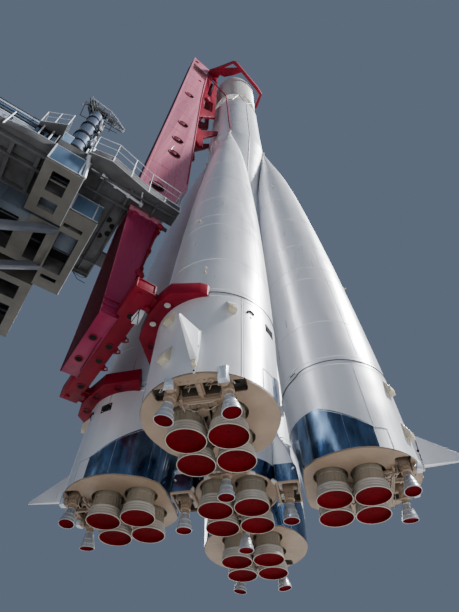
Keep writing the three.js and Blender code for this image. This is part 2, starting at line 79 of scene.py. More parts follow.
@dataclass(frozen=True)
class Finish:
    """One finish of the rocket or stand, made as a node material on object coordinates."""

    name: str
    colour: tuple[float, float, float]
    shade: tuple[float, float, float]
    roughness: tuple[float, float]
    grain: Grain = Grain.MOTTLED
    metallic: float = 0
    coat: float = 0
    bump: float = 0.02
    wave: float = 0
    wave_size: float = 2
    fine: float = 60
    specular: float = 0.5
    slot: str = "grey_steel"

    def material(self) -> bpy.types.Material:
        """Makes the node material, or returns the one already made.

        Returns:
            The Blender material of this finish.
        """
        known = bpy.data.materials.get(self.name)
        if known is not None:
            return known
        made = bpy.data.materials.new(self.name)
        made.use_nodes = True
        tree = made.node_tree
        shader = next(n for n in tree.nodes if n.type == "BSDF_PRINCIPLED")
        self._fill(shader, {"Metallic": self.metallic, "Coat Weight": self.coat, "Coat Roughness": 0.3,
                            "Specular IOR Level": self.specular})
        place = tree.nodes.new("ShaderNodeTexCoord")
        stretch = tree.nodes.new("ShaderNodeMapping")
        stretch.inputs["Scale"].default_value = GRAIN_SCALE[self.grain]
        tree.links.new(place.outputs["Object"], stretch.inputs["Vector"])
        broad = self._noise(tree, stretch.outputs["Vector"], 1, 6 if self.grain is Grain.SCRATCHED else 2.5)
        fine = self._noise(tree, stretch.outputs["Vector"], self.fine / 8, 3)
        ramp = tree.nodes.new("ShaderNodeValToRGB")
        for stop, place_on, colour in zip(ramp.color_ramp.elements, (0.34, 0.62), (self.shade, self.colour)):
            stop.position, stop.color = place_on, (*colour, 1)
        tree.links.new(broad, ramp.inputs["Fac"])
        tree.links.new(ramp.outputs["Color"], shader.inputs["Base Color"])
        gloss = tree.nodes.new("ShaderNodeMapRange")
        self._fill(gloss, {"From Min": 0.3, "From Max": 0.7, "To Min": self.roughness[0],
            "To Max": self.roughness[1]})
        tree.links.new(fine, gloss.inputs["Value"])
        tree.links.new(gloss.outputs["Result"], shader.inputs["Roughness"])
        self._relief(tree, place.outputs["Object"], fine, shader)
        return made

    @staticmethod
    def _fill(node: bpy.types.Node, values: dict[str, float]) -> None:
        """Sets a node's inputs.

        Args:
            node: The node.
            values: The value of each named input.
        """
        for name, value in values.items():
            node.inputs[name].default_value = value

    @staticmethod
    def _noise(
        tree: bpy.types.NodeTree, vector: bpy.types.NodeSocket, scale: float, detail: float
    ) -> bpy.types.NodeSocket:
        """Adds a noise texture.

        Args:
            tree: The material's node tree.
            vector: The coordinates that the noise reads.
            scale: Size of the noise.
            detail: Number of octaves.

        Returns:
            The noise's value.
        """
        noise = tree.nodes.new("ShaderNodeTexNoise")
        Finish._fill(noise, {"Scale": scale, "Detail": detail})
        tree.links.new(vector, noise.inputs["Vector"])
        return noise.outputs["Fac"]

    def _relief(
        self,
        tree: bpy.types.NodeTree,
        vector: bpy.types.NodeSocket,
        fine: bpy.types.NodeSocket,
        shader: bpy.types.Node,
    ) -> None:
        """Bumps the surface finely, and gives sheet metal its slow waves.

        Args:
            tree: The material's node tree.
            vector: Object coordinates.
            fine: The fine noise's value.
            shader: The shader that takes the normal.
        """
        bump = tree.nodes.new("ShaderNodeBump")
        self._fill(bump, {"Strength": 1, "Distance": self.bump * 0.05})
        tree.links.new(fine, bump.inputs["Height"])
        if self.wave > 0:
            swell = self._noise(tree, vector, self.wave_size, 1)
            slow = tree.nodes.new("ShaderNodeBump")
            self._fill(slow, {"Strength": 1, "Distance": self.wave})
            tree.links.new(swell, slow.inputs["Height"])
            tree.links.new(slow.outputs["Normal"], bump.inputs["Normal"])
        tree.links.new(bump.outputs["Normal"], shader.inputs["Normal"])


WHITE = Finish("white_skin", (0.74, 0.75, 0.78), (0.645, 0.655, 0.69), (0.27, 0.37), Grain.STREAKED, 0.35, 0.15,
    0.002, 0.02, 1.6, 24, slot="white_paint")
CREAM = Finish("cream_box_paint", (0.60, 0.54, 0.41), (0.44, 0.38, 0.27), (0.4, 0.6), slot="white_paint")
KHAKI = Finish("khaki_base_paint", (0.31, 0.222, 0.154), (0.245, 0.175, 0.12), (0.42, 0.6), Grain.MOTTLED, 0, 0, 0.01,
    slot="khaki_metal")
BELL = Finish("bell_grey_paint", (0.47, 0.43, 0.38), (0.36, 0.33, 0.28), (0.32, 0.5), Grain.STREAKED, 0.2,
    slot="khaki_metal")
THROAT = Finish("bell_throat_paint", (0.34, 0.29, 0.22), (0.24, 0.205, 0.155), (0.4, 0.6), Grain.STREAKED, 0.2)
COVER = Finish("crimson_cover", (0.10, 0, 0.003), (0.07, 0, 0.002), (0.7, 0.85), Grain.MOTTLED, 0, 0, 0.004, 0, 2, 60,
    0.04, slot="red_paint")
# Polished sheet whose blue tint is a painted reflection of sky; its scratched mottling is the sheet's own wear.
MIRROR = Finish("scratched_mirror_sheet", (0.19, 0.30, 0.46), (0.07, 0.10, 0.15), (0.10, 0.24), Grain.SCRATCHED, 1, 0,
    0.008, 0.04, 2.2, slot="bright_steel")
RED = Finish("gloss_red_paint", (0.19, 0.002, 0.016), (0.135, 0.001, 0.011), (0.38, 0.55), Grain.STREAKED, 0, 0.03,
    0.01, 0.006, 1.2, 60, 0.14, slot="red_paint")
# Red with a painted sunlit sheen, lighter and pinker than the paint, for the boom's sides and their plates.
BOOM_RED = Finish("sunlit_red_paint", (0.44, 0.14, 0.20), (0.37, 0.10, 0.15), (0.24, 0.36), Grain.STREAKED, 0, 0.7,
    0.006, 0.004, 1.2, slot="red_paint")
# Red in painted shade with a blue cast, for the arm.
ARM_RED = Finish("red_paint_in_painted_shade", (0.25, 0.012, 0.06), (0.18, 0.007, 0.04), (0.3, 0.45), Grain.STREAKED, 0, 0.15,
    0.01, 0.006, 1.2, 60, 0.2, slot="red_paint")
# Red in deep painted shade, for outward faces of boom and arm, the hole rims and the head recess.
DARK_RED = Finish("shaded_red_paint", (0.06, 0.001, 0.007), (0.035, 0.001, 0.005), (0.5, 0.65), specular=0.2,
    slot="red_paint")
STEEL = Finish("dark_deck_steel", (0.085, 0.085, 0.088), (0.045, 0.044, 0.045), (0.5, 0.7), Grain.MOTTLED, 0.2)
# Grey steel panels darkened and tinted blue as painted shade and painted sky reflection.
PANEL = Finish("grey_panel_painted_sky_shade", (0.12, 0.20, 0.31), (0.065, 0.115, 0.19), (0.35, 0.55), Grain.STREAKED, 0.3)
SLATE = Finish("slate_panel_paint", (0.085, 0.105, 0.135), (0.05, 0.062, 0.08), (0.4, 0.6), Grain.STREAKED, 0.2)
RAIL = Finish("rail_white_paint", (0.60, 0.62, 0.65), (0.44, 0.46, 0.50), (0.35, 0.5), Grain.MOTTLED, 0.3)
TAUPE = Finish("taupe_frame_paint", (0.122, 0.116, 0.098), (0.092, 0.086, 0.073), (0.5, 0.7), Grain.STREAKED,
    slot="taupe_steel")
LEG_GREY = Finish("blue_grey_leg_paint", (0.165, 0.175, 0.205), (0.11, 0.12, 0.145), (0.45, 0.65), Grain.STREAKED,
    0.2, slot="taupe_steel")
CHROME = Finish("bright_ram_steel", (0.72, 0.74, 0.76), (0.5, 0.52, 0.54), (0.12, 0.3), Grain.BRUSHED, 1,
    slot="bright_steel")
# Mast tube tinted blue as a painted reflection of sky.
MAST = Finish("mast_tube_steel", (0.26, 0.32, 0.43), (0.21, 0.26, 0.35), (0.2, 0.34), Grain.STREAKED, 0.8,
    slot="bright_steel")
# Near-black: painted shade in holes, gaps, vents and window openings, and plain dark paint on other dark parts.
DARK = Finish("dark_recess", (0.020, 0.019, 0.018), (0.010, 0.010, 0.010), (0.7, 0.9), specular=0.05)
CABLE = Finish("black_cable_sheath", (0.035, 0.035, 0.038), (0.02, 0.02, 0.02), (0.5, 0.7))
RIBBED = Finish("ribbed_stage_metal", (0.60, 0.59, 0.57), (0.42, 0.39, 0.36), (0.32, 0.5), Grain.STREAKED, 0.4,
    slot="ribbed_metal")
CONCRETE = Finish("slab_concrete", (0.55, 0.54, 0.51), (0.42, 0.41, 0.39), (0.8, 0.95), Grain.SPECKLED, 0, 0, 0.2,
    slot="concrete")
FLOOR = Finish("pale_floor", (0.48, 0.48, 0.48), (0.46, 0.46, 0.46), (0.6, 0.7))
BLUE_GREY = Finish("pale_chamber_paint", (0.62, 0.67, 0.74), (0.46, 0.50, 0.57), (0.22, 0.4), Grain.STREAKED, 0.4)
CHAMBER = Finish("chamber_grey_paint", (0.46, 0.49, 0.53), (0.33, 0.355, 0.39), (0.24, 0.4), Grain.STREAKED, 0.4)
# Painted shade: darker khaki for faces inside the wells and bays, near-black brown deep in the pockets.
WELL = Finish("shaded_well_paint", (0.28, 0.225, 0.165), (0.18, 0.145, 0.105), (0.5, 0.7))
PIT = Finish("shaded_pocket_paint", (0.075, 0.062, 0.047), (0.03, 0.025, 0.02), (0.6, 0.8))


def booster_centre(z: float) -> float:
    """Distance from the rocket's axis to a booster's middle at height z."""
    return 2728 - (z - 531) * 0.0645


def core_centre(z: float) -> float:
    """The core stands on the rocket's axis at every height z."""
    return 0 * z


def deselect() -> None:
    """Leaves edit mode and deselects every object."""
    if bpy.context.object is not None and bpy.context.object.mode != "OBJECT":
        bpy.ops.object.mode_set(mode="OBJECT")
    bpy.ops.object.select_all(action="DESELECT")


def pick(obj: Shape) -> None:
    """Makes one object the only selected and active one.

    Args:
        obj: The object.
    """
    deselect()
    obj.select_set(True)
    bpy.context.view_layer.objects.active = obj


def edit(obj: Shape) -> None:
    """Opens an object in edit mode with all of its mesh selected.

    Args:
        obj: The object.
    """
    pick(obj)
    bpy.ops.object.mode_set(mode="EDIT")
    bpy.ops.mesh.select_all(action="SELECT")


def close() -> None:
    """Turns the normals outward and leaves edit mode."""
    bpy.ops.mesh.select_all(action="SELECT")
    bpy.ops.mesh.normals_make_consistent(inside=False)
    bpy.ops.object.mode_set(mode="OBJECT")


def apply_place(obj: Shape) -> None:
    """Moves an object's place, turn and size into its mesh."""
    pick(obj)
    bpy.ops.object.transform_apply(location=True, rotation=True, scale=True)


def select_where(obj: Shape, test: Callable[[Vector], bool], kind: str = "vertices") -> int:
    """Selects the vertices or faces of an object in edit mode by their place.

    Args:
        obj: The object, in edit mode.
        test: Says for a vertex, or for a face's middle, whether it is selected.
        kind: "vertices" or "polygons".

    Returns:
        How many were selected.
    """
    bpy.ops.mesh.select_all(action="DESELECT")
    bpy.ops.object.mode_set(mode="OBJECT")
    found = 0
    for item in getattr(obj.data, kind):
        place = item.co if kind == "vertices" else item.center
        if test(place):
            item.select = True
            found += 1
    bpy.ops.object.mode_set(mode="EDIT")
    return found


def turned(
    profile: Profile, sides: int, centre: Callable[[float], float] = core_centre, along_y: float = 0
) -> Shape:
    """Raises a closed round shape from a disc, one extrusion for each section.

    Args:
        profile: Radius and height of each section, from one end to the other.
        sides: Number of sides of the round.
        centre: Place of the section's middle along X at a height.
        along_y: Place of the middle along Y.

    Returns:
        The new object.
    """
    deselect()
    r0, z0 = profile[0]
    bpy.ops.mesh.primitive_circle_add(
        vertices=sides, radius=r0, fill_type="NGON", location=(centre(z0), along_y, z0)
    )
    obj = bpy.context.object
    apply_place(obj)
    edit(obj)
    for (ra, za), (rb, zb) in pairwise(profile):
        move = (centre(zb) - centre(za), 0, zb - za)
        bpy.ops.mesh.extrude_region_move(TRANSFORM_OT_translate={"value": move})
        if abs(rb - ra) > 1e-6:
            bpy.ops.transform.resize(value=(rb / ra, rb / ra, 1), center_override=(centre(zb), along_y, zb))
    close()
    return obj


def boxed(low: Point, high: Point, round_edge: float = 0) -> Shape:
    """Makes a box between two corners, its edges rounded over.

    Args:
        low: Lowest corner.
        high: Highest corner.
        round_edge: Width of the rounding, or 0 for sharp edges.

    Returns:
        The new object.
    """
    deselect()
    middle = [(a + b) / 2 for a, b in zip(low, high)]
    bpy.ops.mesh.primitive_cube_add(size=1, location=middle, scale=[b - a for a, b in zip(low, high)])
    obj = bpy.context.object
    apply_place(obj)
    if round_edge > 0:
        bevelled(obj, round_edge)
    return obj


def bevelled(obj: Shape, width: float, segments: int = 2, angle: float = 30) -> Shape:
    """Rounds an object's sharp edges with an applied Bevel modifier.

    Args:
        obj: The object.
        width: Width of the rounding.
        segments: Steps across the rounding.
        angle: Edges sharper than this many degrees are rounded.

    Returns:
        The same object.
    """
    pick(obj)
    bevel = obj.modifiers.new("round_edges", "BEVEL")
    bevel.width = width
    bevel.segments = segments
    bevel.limit_method = "ANGLE"
    bevel.angle_limit = math.radians(angle)
    bpy.ops.object.modifier_apply(modifier=bevel.name)
    return obj


def chained(points: Sequence[Point]) -> Shape:
    """Extrudes one vertex from point to point, and stays in edit mode.

    Args:
        points: The points, in order.

    Returns:
        The new object.
    """
    deselect()
    bpy.ops.mesh.primitive_plane_add(size=0.01, location=points[0])
    obj = bpy.context.object
    apply_place(obj)
    edit(obj)
    bpy.ops.mesh.merge(type="CENTER")
    for a, b in pairwise(points):
        step = [q - p for p, q in zip(a, b)]
        bpy.ops.mesh.extrude_vertices_move(TRANSFORM_OT_translate={"value": step})
    return obj


def drawn(outline: Sequence[Point], depth: Point) -> Shape:
    """Draws an outline vertex by vertex, fills it and pulls it into a plate.

    Args:
        outline: Corners of the outline, in order.
        depth: Which way and how far the plate is pulled.

    Returns:
        The new object.
    """
    obj = chained(outline)
    bpy.ops.mesh.select_all(action="SELECT")
    bpy.ops.mesh.edge_face_add()
    bpy.ops.mesh.extrude_region_move(TRANSFORM_OT_translate={"value": depth})
    close()
    return obj


def rod(start: Point, end: Point, radius: float, sides: int = 12, tip: float | None = None) -> Shape:
    """Makes a round rod, or a cone, between two points.

    Args:
        start: Middle of the first end.
        end: Middle of the other end.
        radius: Radius at the first end.
        sides: Number of sides.
        tip: Radius at the other end, if it differs.

    Returns:
        The new object.
    """
    deselect()
    a, b = Vector(start), Vector(end)
    bpy.ops.mesh.primitive_cone_add(
        vertices=sides,
        radius1=radius,
        radius2=radius if tip is None else tip,
        depth=(b - a).length,
        location=(a + b) / 2,
        rotation=(b - a).to_track_quat("Z", "Y").to_euler(),
    )
    obj = bpy.context.object
    apply_place(obj)
    return obj


def pipe(points: Sequence[Point], radius: float, sides: int = 2) -> Shape:
    """Runs a round pipe through some points, as a filled curve made a mesh.

    Args:
        points: The points it passes through.
        radius: The pipe's radius.
        sides: Bevel resolution of the curve.

    Returns:
        The new object.
    """
    chained(points)
    bpy.ops.object.mode_set(mode="OBJECT")
    bpy.ops.object.convert(target="CURVE")
    curve = bpy.context.object.data
    curve.bevel_depth = radius
    curve.bevel_resolution = sides
    curve.use_fill_caps = True
    bpy.ops.object.convert(target="MESH")
    return bpy.context.object


def joined(objects: Iterable[Shape]) -> Shape:
    """Joins objects into the first of them.

    Args:
        objects: The objects to join.

    Returns:
        The joined object.
    """
    parts = list(objects)
    deselect()
    for part in parts:
        part.select_set(True)
    bpy.context.view_layer.objects.active = parts[0]
    if len(parts) > 1:
        bpy.ops.object.join()
    return parts[0]


def carved(obj: Shape, cutters: Iterable[Shape]) -> Shape:
    """Cuts other objects out of one, and removes them.

    Args:
        obj: The object that is cut.
        cutters: The objects that cut it.

    Returns:
        The cut object.
    """
    for cutter in cutters:
        pick(obj)
        cut = obj.modifiers.new("cut", "BOOLEAN")
        cut.object = cutter
        cut.operation = "DIFFERENCE"
        cut.solver = "EXACT"
        bpy.ops.object.modifier_apply(modifier=cut.name)
        bpy.data.objects.remove(cutter)
    return obj


def ringed(obj: Shape, count: int, middle: Point, axis: Point = (0, 0, 1)) -> Shape:
    """Copies all of an object's mesh round an axis with the spin operator.

    Args:
        obj: The object.
        count: How many copies stand round the axis, the first one included.
        middle: A point on the axis.
        axis: The axis.

    Returns:
        The same object.
    """
    edit(obj)
    bpy.ops.mesh.spin(
        steps=count, dupli=True, angle=2 * math.pi, use_auto_merge=True, center=middle, axis=axis
    )
    bpy.ops.mesh.select_all(action="SELECT")
    bpy.ops.mesh.remove_doubles(threshold=0.01)
    close()
    return obj


def copied(obj: Shape, turn: Matrix) -> Shape:
    """Copies an object with a mesh of its own, moved by a matrix.

    Args:
        obj: The object.
        turn: The matrix that moves the copy's mesh.

    Returns:
        The copy.
    """
    twin = obj.copy()
    twin.data = obj.data.copy()
    bpy.context.scene.collection.objects.link(twin)
    twin.data.transform(turn)
    if turn.determinant() < 0:
        edit(twin)
        close()
    return twin


def about_z(degrees: float) -> Matrix:
    """A turn about the rocket's axis."""
    return Matrix.Rotation(math.radians(degrees), 4, "Z")


def moved(obj: Shape, x: float, y: float = 0, z: float = 0, about_x: float = 0) -> Shape:
    """Tips an object's mesh about X, then moves it.

    Args:
        obj: The object.
        x: Way along X.
        y: Way along Y.
        z: Way up.
        about_x: The tip, in degrees.

    Returns:
        The same object.
    """
    obj.data.transform(Matrix.Translation((x, y, z)) @ Matrix.Rotation(math.radians(about_x), 4, "X"))
    return obj


def polar(radius: float, degrees: float, z: float, middle: float = 0) -> Point:
    """The point at a radius and turn about an upright axis that stands at middle on X."""
    at = math.radians(degrees)
    return (middle + radius * math.cos(at), radius * math.sin(at), z)


def refined(node: str, width: float, segments: int = 2, angle: float = 30) -> Shape:
    """Copies a CAD node, welds it and rounds its edges, in full-size millimetres.

    Args:
        node: The node's name.
        width: Width of the rounding, in full-size millimetres.
        segments: Steps across the rounding.
        angle: Edges sharper than this many degrees are rounded.

    Returns:
        The new object.
    """
    deselect()
    obj = bpy.data.objects.new(node + "_shape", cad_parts[node].data.copy())
    bpy.context.scene.collection.objects.link(obj)
    obj.data.transform(Matrix.Translation((0, 0, -GROUND_DROP)) @ Matrix.Scale(1 / SCALE, 4))
    obj.data.materials.clear()
    edit(obj)
    bpy.ops.mesh.remove_doubles(threshold=0.05)
    close()
    if width > 0:
        bevelled(obj, width, segments, angle)
    return obj


@dataclass
class Piece:
    """A finished piece: its shape, its finish, and the CAD body that carries it."""

    name: str
    shape: Shape
    finish: Finish
    body: str = ROOT
    replaces: tuple[str, ...] = ()
    smooth: float = 35
    accents: Sequence[tuple[Finish, FaceTest]] = ()
    slot: str = ""

    def __post_init__(self) -> None:
        """Takes the finish's own slot where no other is named."""
        self.slot = self.slot or self.finish.slot

    def settle(self, azimuth: float = 0) -> Shape:
        """Names, paints, scales and mounts the piece.

        Args:
            azimuth: How far the piece is turned about the rocket's axis, in degrees.

        Returns:
            The settled object.
        """
        obj = self.shape
        obj.name = self.name
        obj.data.name = self.name
        if not obj.data.materials:
            obj.data.materials.append(self.finish.material())
        for index, (finish, test) in enumerate(self.accents, start=len(obj.data.materials)):
            obj.data.materials.append(finish.material())
            for face in obj.data.polygons:
                if test(face.center, face.normal):
                    face.material_index = index
        pick(obj)
        bpy.ops.object.shade_smooth_by_angle(angle=math.radians(self.smooth))
        lift = Matrix.Translation((0, 0, GROUND_DROP * SCALE))
        obj.data.transform(lift @ Matrix.Scale(SCALE, 4) @ about_z(azimuth))
        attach(obj, self.body)
        if self.replaces:
            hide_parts(*self.replaces)
        log.info("%s: %d faces", obj.name, len(obj.data.polygons))
        return obj


def eased(profile: Profile, steps: int) -> list[tuple[float, float]]:
    """Runs a smooth curve through the sections of a hull.

    Args:
        profile: Radius and height of each section.
        steps: Sections made between two given ones.

    Returns:
        The finer profile.
    """
    slopes = []
    for i in range(len(profile)):
        r0, z0 = profile[max(i - 1, 0)]
        r1, z1 = profile[min(i + 1, len(profile) - 1)]
        slopes.append((r1 - r0) / (z1 - z0))
    rows = [tuple(profile[0])]
    for i, ((ra, za), (rb, zb)) in enumerate(pairwise(profile)):
        for k in range(1, steps + 1):
            s = k / steps
            span = zb - za
            radius = (
                ra * (2 * s**3 - 3 * s**2 + 1)
                + slopes[i] * span * (s**3 - 2 * s**2 + s)
                + rb * (3 * s**2 - 2 * s**3)
                + slopes[i + 1] * span * (s**3 - s**2)
            )
            rows.append((radius, za + s * span))
    return rows


def seamed(profile: Profile, seams: Sequence[float], half: float = 11) -> list[tuple[float, float]]:
    """Adds a narrow groove to a hull's profile at each seam.

    Args:
        profile: Radius and height of each section, rising.
        seams: Heights of the grooves.
        half: Half the groove's width, and its depth.

    Returns:
        The profile with the grooves.
    """
    rows = {z: r for r, z in profile if all(abs(z - seam) > 2 * half for seam in seams)}
    for seam in seams:
        (ra, za), (rb, zb) = next(p for p in pairwise(profile) if p[0][1] <= seam <= p[1][1])
        radius = ra + (rb - ra) * (seam - za) / (zb - za)
        rows[seam - half], rows[seam], rows[seam + half] = radius, radius - half, radius
    return [(rows[z], z) for z in sorted(rows)]


def painted(obj: Shape, finish: Finish) -> Shape:
    """Gives a loose shape its finish before it is joined to others.

    Args:
        obj: The shape.
        finish: Its finish.

    Returns:
        The same shape.
    """
    obj.data.materials.clear()
    obj.data.materials.append(finish.material())
    return obj


def skin_frame(azimuth: float, height: float, radius: float) -> Matrix:
    """Matrix from a patch drawn about the origin, X outward, to a booster's skin.

    Args:
        azimuth: Degrees about the booster's own middle, from its outward side.
        height: Height of the patch.
        radius: Radius of the skin there.

    Returns:
        The matrix.
    """
    middle = Matrix.Translation((booster_centre(height), 0, height))
    return middle @ about_z(azimuth) @ Matrix.Translation((radius, 0, 0))


@dataclass
class EngineCluster:
    """Four main bells with their covers and feed pipes, about a point on the X axis."""

    middle: float
    pitch: float = 393
    top: float = 690
    sides: int = 64

    def bell(self) -> Shape:
        """Turns one bell with its flanges and ring lines, and stands the stiffening ribs round its throat.

        Returns:
            The new object.
        """
        profile = [
            (262, self.top), (300, 640), (300, 500), (309, 494), (309, 476), (301, 470), (304, 340), (308, 262),
            (326, 246), (350, 232), (353, 218), (353, 196), (349, 188), (356, 150), (362, 146), (362, 136),
            (358, 132), (366, 84), (372, 80), (372, 70), (368, 66), (377, 30), (381, 26), (381, 4), (377, 0),
            (368, 0),
            (365, 5), (349, 66), (344, 112),
        ]
        shell = painted(turned(profile, self.sides), BELL)
        shell.data.materials.append(THROAT.material())
        for face in shell.data.polygons:
            if face.center.z > 236:
                face.material_index = 1
        rib = painted(bevelled(boxed((298, -7, 262), (313, 7, 470)), 2), THROAT)
        return joined([shell, ringed(rib, 24, (0, 0, 0))])

    def cover(self) -> Shape:
        """Turns one dished cover that fills the bell up to its lip, with a pull at its middle."""
        profile = [(4, 106), (341, 100), (343, 80), (362, 13), (366, 6), (364, 3), (360, 8), (338, 70), (320, 78),
            (180, 88), (34, 90), (30, 84), (4, 84)]
        return painted(turned(profile, self.sides), COVER)

    def spots(self) -> list[tuple[float, float]]:
        """Places of the four bells."""
        return [(self.middle + a * self.pitch, b * self.pitch) for a in (-1, 1) for b in (-1, 1)]

    def set_of(self, make: Callable[[], Shape]) -> Shape:
        """Models one bell or cover and copies it to the four places.

        Args:
            make: Makes the one.

        Returns:
            The four joined.
        """
        first = make()
        others = [copied(first, Matrix.Translation((x, y, 0))) for x, y in self.spots()]
        bpy.data.objects.remove(first)
        return joined(others)

    def pipes(self) -> Shape:
        """Runs feed and drain pipes between the bells.

        Returns:
            The new object.
        """
        m, p = self.middle, self.pitch
        runs = [
            pipe([(m + 120, 0, 560), (m + 120, 0, 430), (m + 60, 40, 380), (m + 60, p - 180, 420),
            (m + 60, p - 180, 560)], 26),
            pipe([(m - 120, 0, 560), (m - 120, 0, 420), (m - 60, -40, 370), (m - 60, 180 - p, 410),
            (m - 60, 180 - p, 560)], 26),
            pipe([(m + p + 330, 60, 560), (m + p + 260, 60, 440), (m + 200, 30, 400), (m, 0, 560)], 22),
            pipe([(m + p + 330, -90, 560), (m + p + 230, -90, 430), (m + 190, -60, 380), (m - 40, -30, 560)], 18),
            pipe([(m - p, 120, 560), (m - p + 60, 30, 400), (m - p + 60, -30, 400), (m - p, -120, 560)], 22),
            pipe([(m + 90, p, 560), (m + 60, p - 30, 300), (m + 10, p - 90, 240), (m - 50, p - 60, 330),
            (m - 80, p, 560)], 14),
            pipe([(m + 90, -p, 560), (m + 60, 30 - p, 300), (m + 10, 90 - p, 240), (m - 50, 60 - p, 330),
            (m - 80, -p, 560)], 14),
        ]
        hub = moved(turned([(90, 690), (90, 470), (74, 452), (74, 420), (40, 404)], 24), m)
        return joined([painted(run, THROAT) for run in [*runs, hub]])


